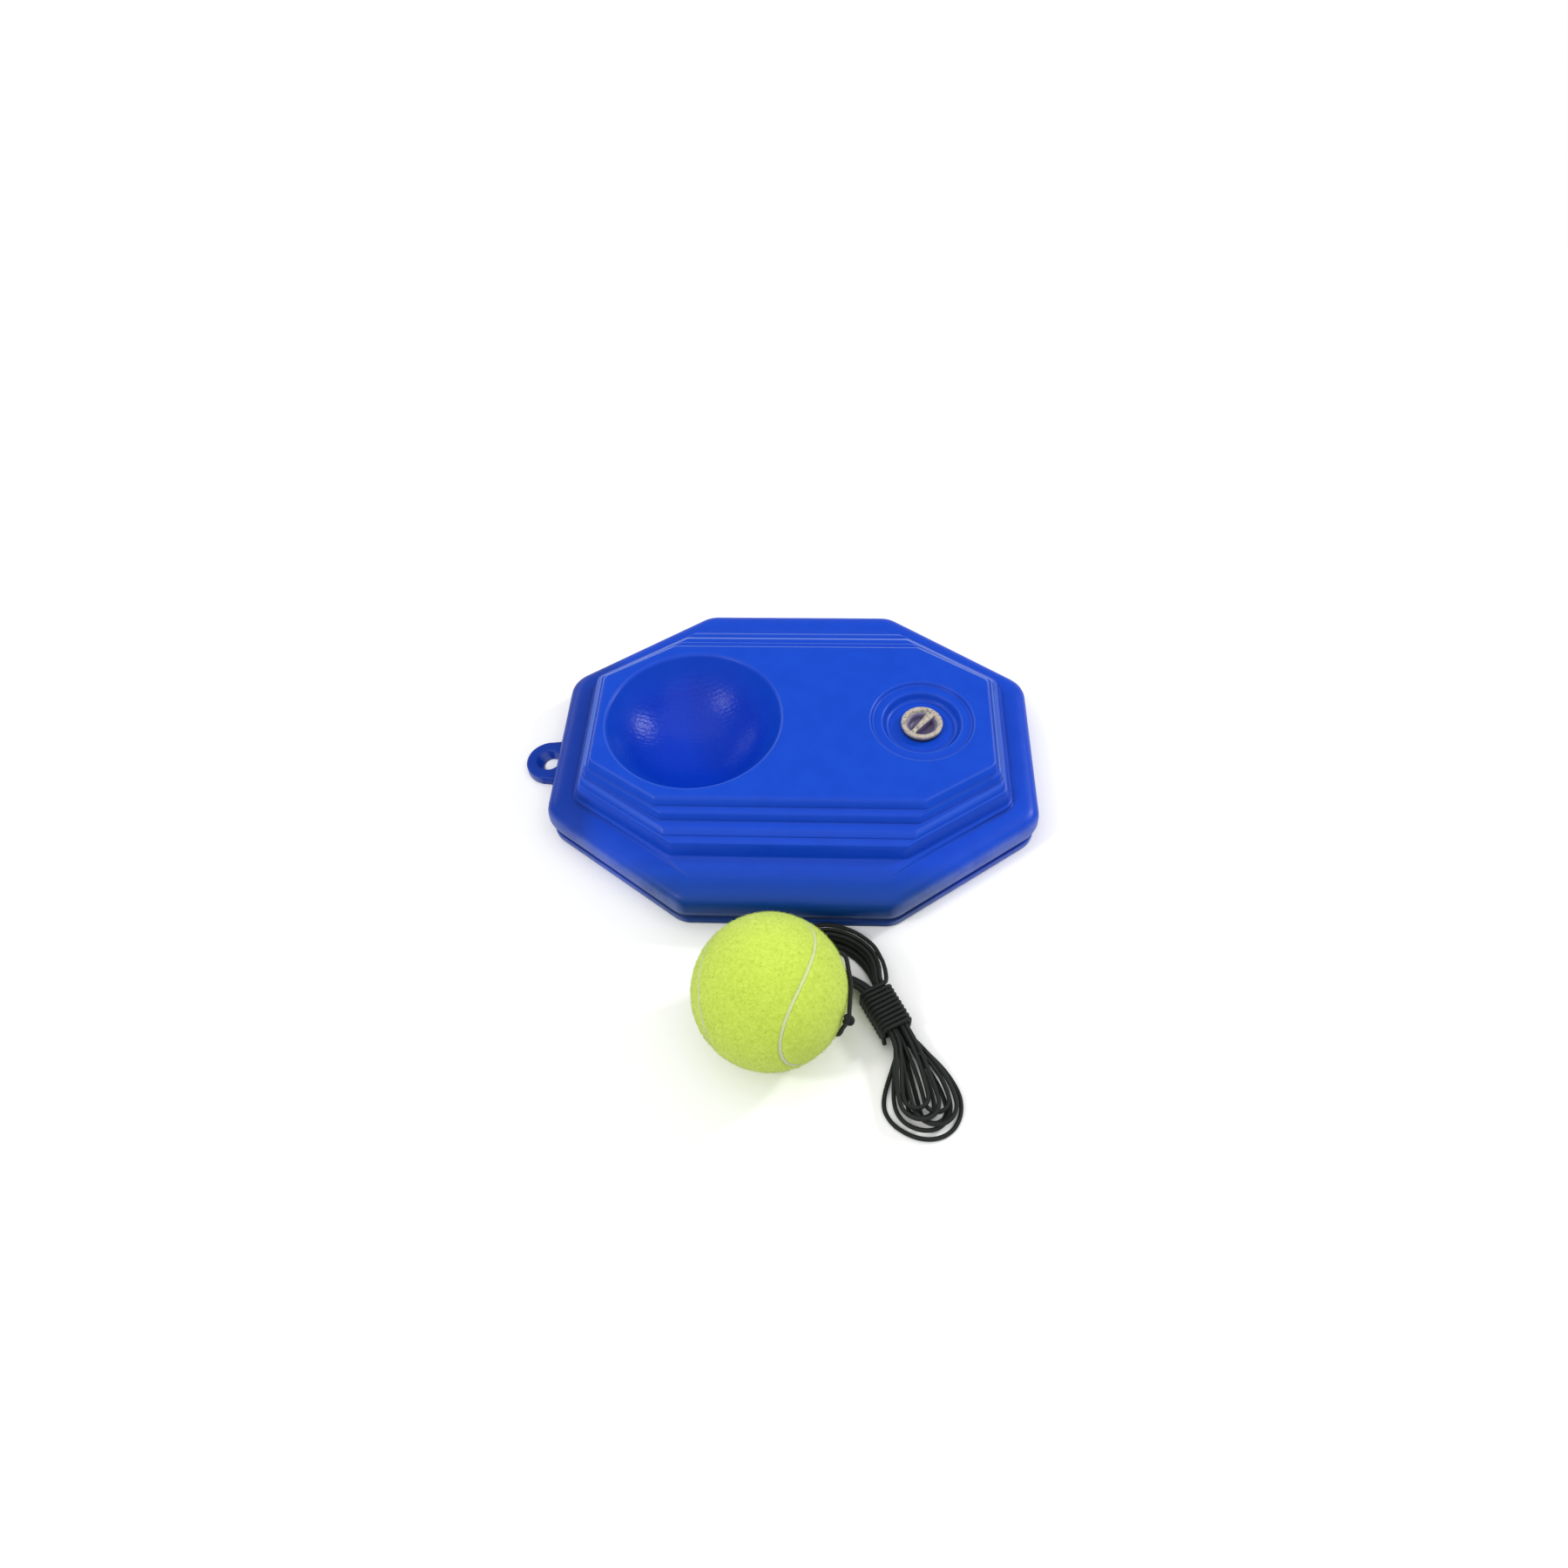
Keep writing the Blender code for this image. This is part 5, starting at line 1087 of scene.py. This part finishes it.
# Brushed wool and nylon felt, dyed optic yellow: clumped fibres give a fine mottle, and
# the light catches their ends at the ball's edge.
felt, node, shader, coordinates = new_finish("brushed_felt", "c8e83c", 0.9)
place = coordinates["Object"]
clump = node("TexNoise", {"Vector": place, "Scale": 1 / (1.5 * MM), "Detail": 6.0,
                          "Roughness": 0.75, "Distortion": 0.6})
matted = node("TexNoise", {"Vector": place, "Scale": 1 / (7 * MM), "Detail": 3.0,
                           "Roughness": 0.5})
mottle = node("MapRange", {"Value": clump, "From Min": 0.36, "From Max": 0.64})
tint = node("Mix", {"Factor": mottle, "A": "a9cb36", "B": "d9ea62"}, data_type="RGBA")
worn = node("Mix", {"Factor": matted, "A": tint, "B": "cae054"}, data_type="RGBA")
bump = node("Bump", {"Height": clump, "Strength": 0.6, "Distance": 0.4 * MM})
node(shader, {"Base Color": worn, "Normal": bump, "Specular IOR Level": 0.2,
              "Sheen Weight": 0.15, "Sheen Roughness": 0.6})

for letter, flip, seed in (("a", False, 3), ("b", True, 4)):
    weld(add_piece("felt_skin_" + letter, *felt_mesh(flip), felt, "ball", "ball_felt",
                   ("felt_panel_" + letter,)))
    add_piece("felt_fuzz_" + letter, *fuzz_mesh(flip, seed), felt, "ball", "ball_felt")

# Vulcanised rubber cement: pale, matt, slightly grubby, and greener towards the top of the
# ball, where more fibres have stuck to it.
cement, node, shader, coordinates = new_finish("rubber_cement", "c9c9b2", 0.75)
place = coordinates["Object"]
height = node("SeparateXYZ", {"Vector": place}).outputs["Z"]
grub = node("TexNoise", {"Vector": place, "Scale": 1 / (0.9 * MM), "Detail": 4.0,
                         "Roughness": 0.7})
tint = node("Mix", {"Factor": grub, "A": "b4b78e", "B": "dcdccb"}, data_type="RGBA")
colour = lay_over(node, tint, (("cfe67e", ((height, BALL_RADIUS, 2 * BALL_RADIUS, 0.1, 0.6),)),))
bump = node("Bump", {"Height": grub, "Strength": 0.5, "Distance": 0.15 * MM})
node(shader, {"Base Color": colour, "Normal": bump})
add_piece("seam_cement", *seam_mesh(), cement, "ball", "seam_cement", ("ball_seam",))

# Natural rubber with filler: the two half shells of the core keep their CAD shape.
core_rubber, node, shader, coordinates = new_finish("natural_rubber", "4f5054", 0.65)
place = coordinates["Object"]
bloom = node("TexNoise", {"Vector": place, "Scale": 1 / (5 * MM), "Detail": 5.0,
                          "Roughness": 0.6})
tint = node("Mix", {"Factor": bloom, "A": "434448", "B": "5e5f63"}, data_type="RGBA")
bump = node("Bump", {"Height": bloom, "Strength": 0.2, "Distance": 0.1 * MM})
node(shader, {"Base Color": tint, "Normal": bump})
for name in ("ball_core_half_a", "ball_core_half_b"):
    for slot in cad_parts[name].material_slots:
        slot.material = core_rubber

# Studio
# A white table in an even white room.  The light comes softly from above, two smaller
# lamps at either side show in the bowl, and a low one at the back left lights the thin
# bright lines along the base's edges, which are also painted on as highlights.
TABLE_HALF = 3.0
TABLE_FADE = (0.35, 0.8)  # metres out, where it fades into the white room
corners = [(x * TABLE_HALF, y * TABLE_HALF, 0) for x, y in ((-1, -1), (1, -1), (1, 1), (-1, 1))]
table = bpy.data.meshes.new("table")
table.from_pydata(corners, [], [(0, 1, 2, 3)])
floor = put_in_scene("table", table)
paper, node, shader, coordinates = new_finish("white_paper", "fafafa", 0.95)
seen = node("LightPath", {}).outputs["Is Camera Ray"]
shade = node("Mix", {"Factor": seen, "A": "eaeaea", "B": "fcfcfc"}, data_type="RGBA")
node(shader, {"Base Color": shade, "Specular IOR Level": 0.0})
place = coordinates["Object"]
away = node("VectorMath", {0: place}, operation="LENGTH")
gone = node("MapRange", {"Value": away, "From Min": TABLE_FADE[0], "From Max": TABLE_FADE[1]})
fade = node("MixShader", {0: gone, 1: shader, 2: node("BsdfTransparent", {})})
node(paper.node_tree.nodes["Material Output"], {"Surface": fade})
table.materials.append(paper)

# each lamp's name, place, aim, width, depth and watts
for name, place, aim, width, depth, power in (
        ("overhead", (0.0, -0.35, 1.25), (0, -0.05, 0), 2.0, 2.0, 12.6),
        ("front_left", (-0.73, -0.47, 0.96), (-0.05, 0, 0), 0.17, 0.17, 3.4),
        ("right", (0.98, 0.44, 0.74), (-0.05, 0, 0), 0.17, 0.17, 6.2),
        ("window", (-0.94, 0.9, 0.5), (0, 0, 0.03), 0.8, 0.2, 2.0)):
    light = bpy.data.lights.new(name, "AREA")
    light.shape = "RECTANGLE"
    light.size, light.size_y, light.energy = width, depth, power
    lamp = put_in_scene(name, light)
    lamp.location = place
    lamp.rotation_euler = (Vector(aim) - Vector(place)).to_track_quat("-Z", "Y").to_euler()
room = bpy.data.worlds.new("room")
bpy.context.scene.world = room
room.use_nodes = True
node = partial(add_node, room.node_tree)
level = node("MapRange", {"Value": node("LightPath", {}).outputs["Is Camera Ray"],
                          "To Min": 0.42, "To Max": 1.0})
node(room.node_tree.nodes["Background"], {"Color": (1, 1, 1, 1), "Strength": level})
bpy.context.scene.view_settings.view_transform = "Standard"
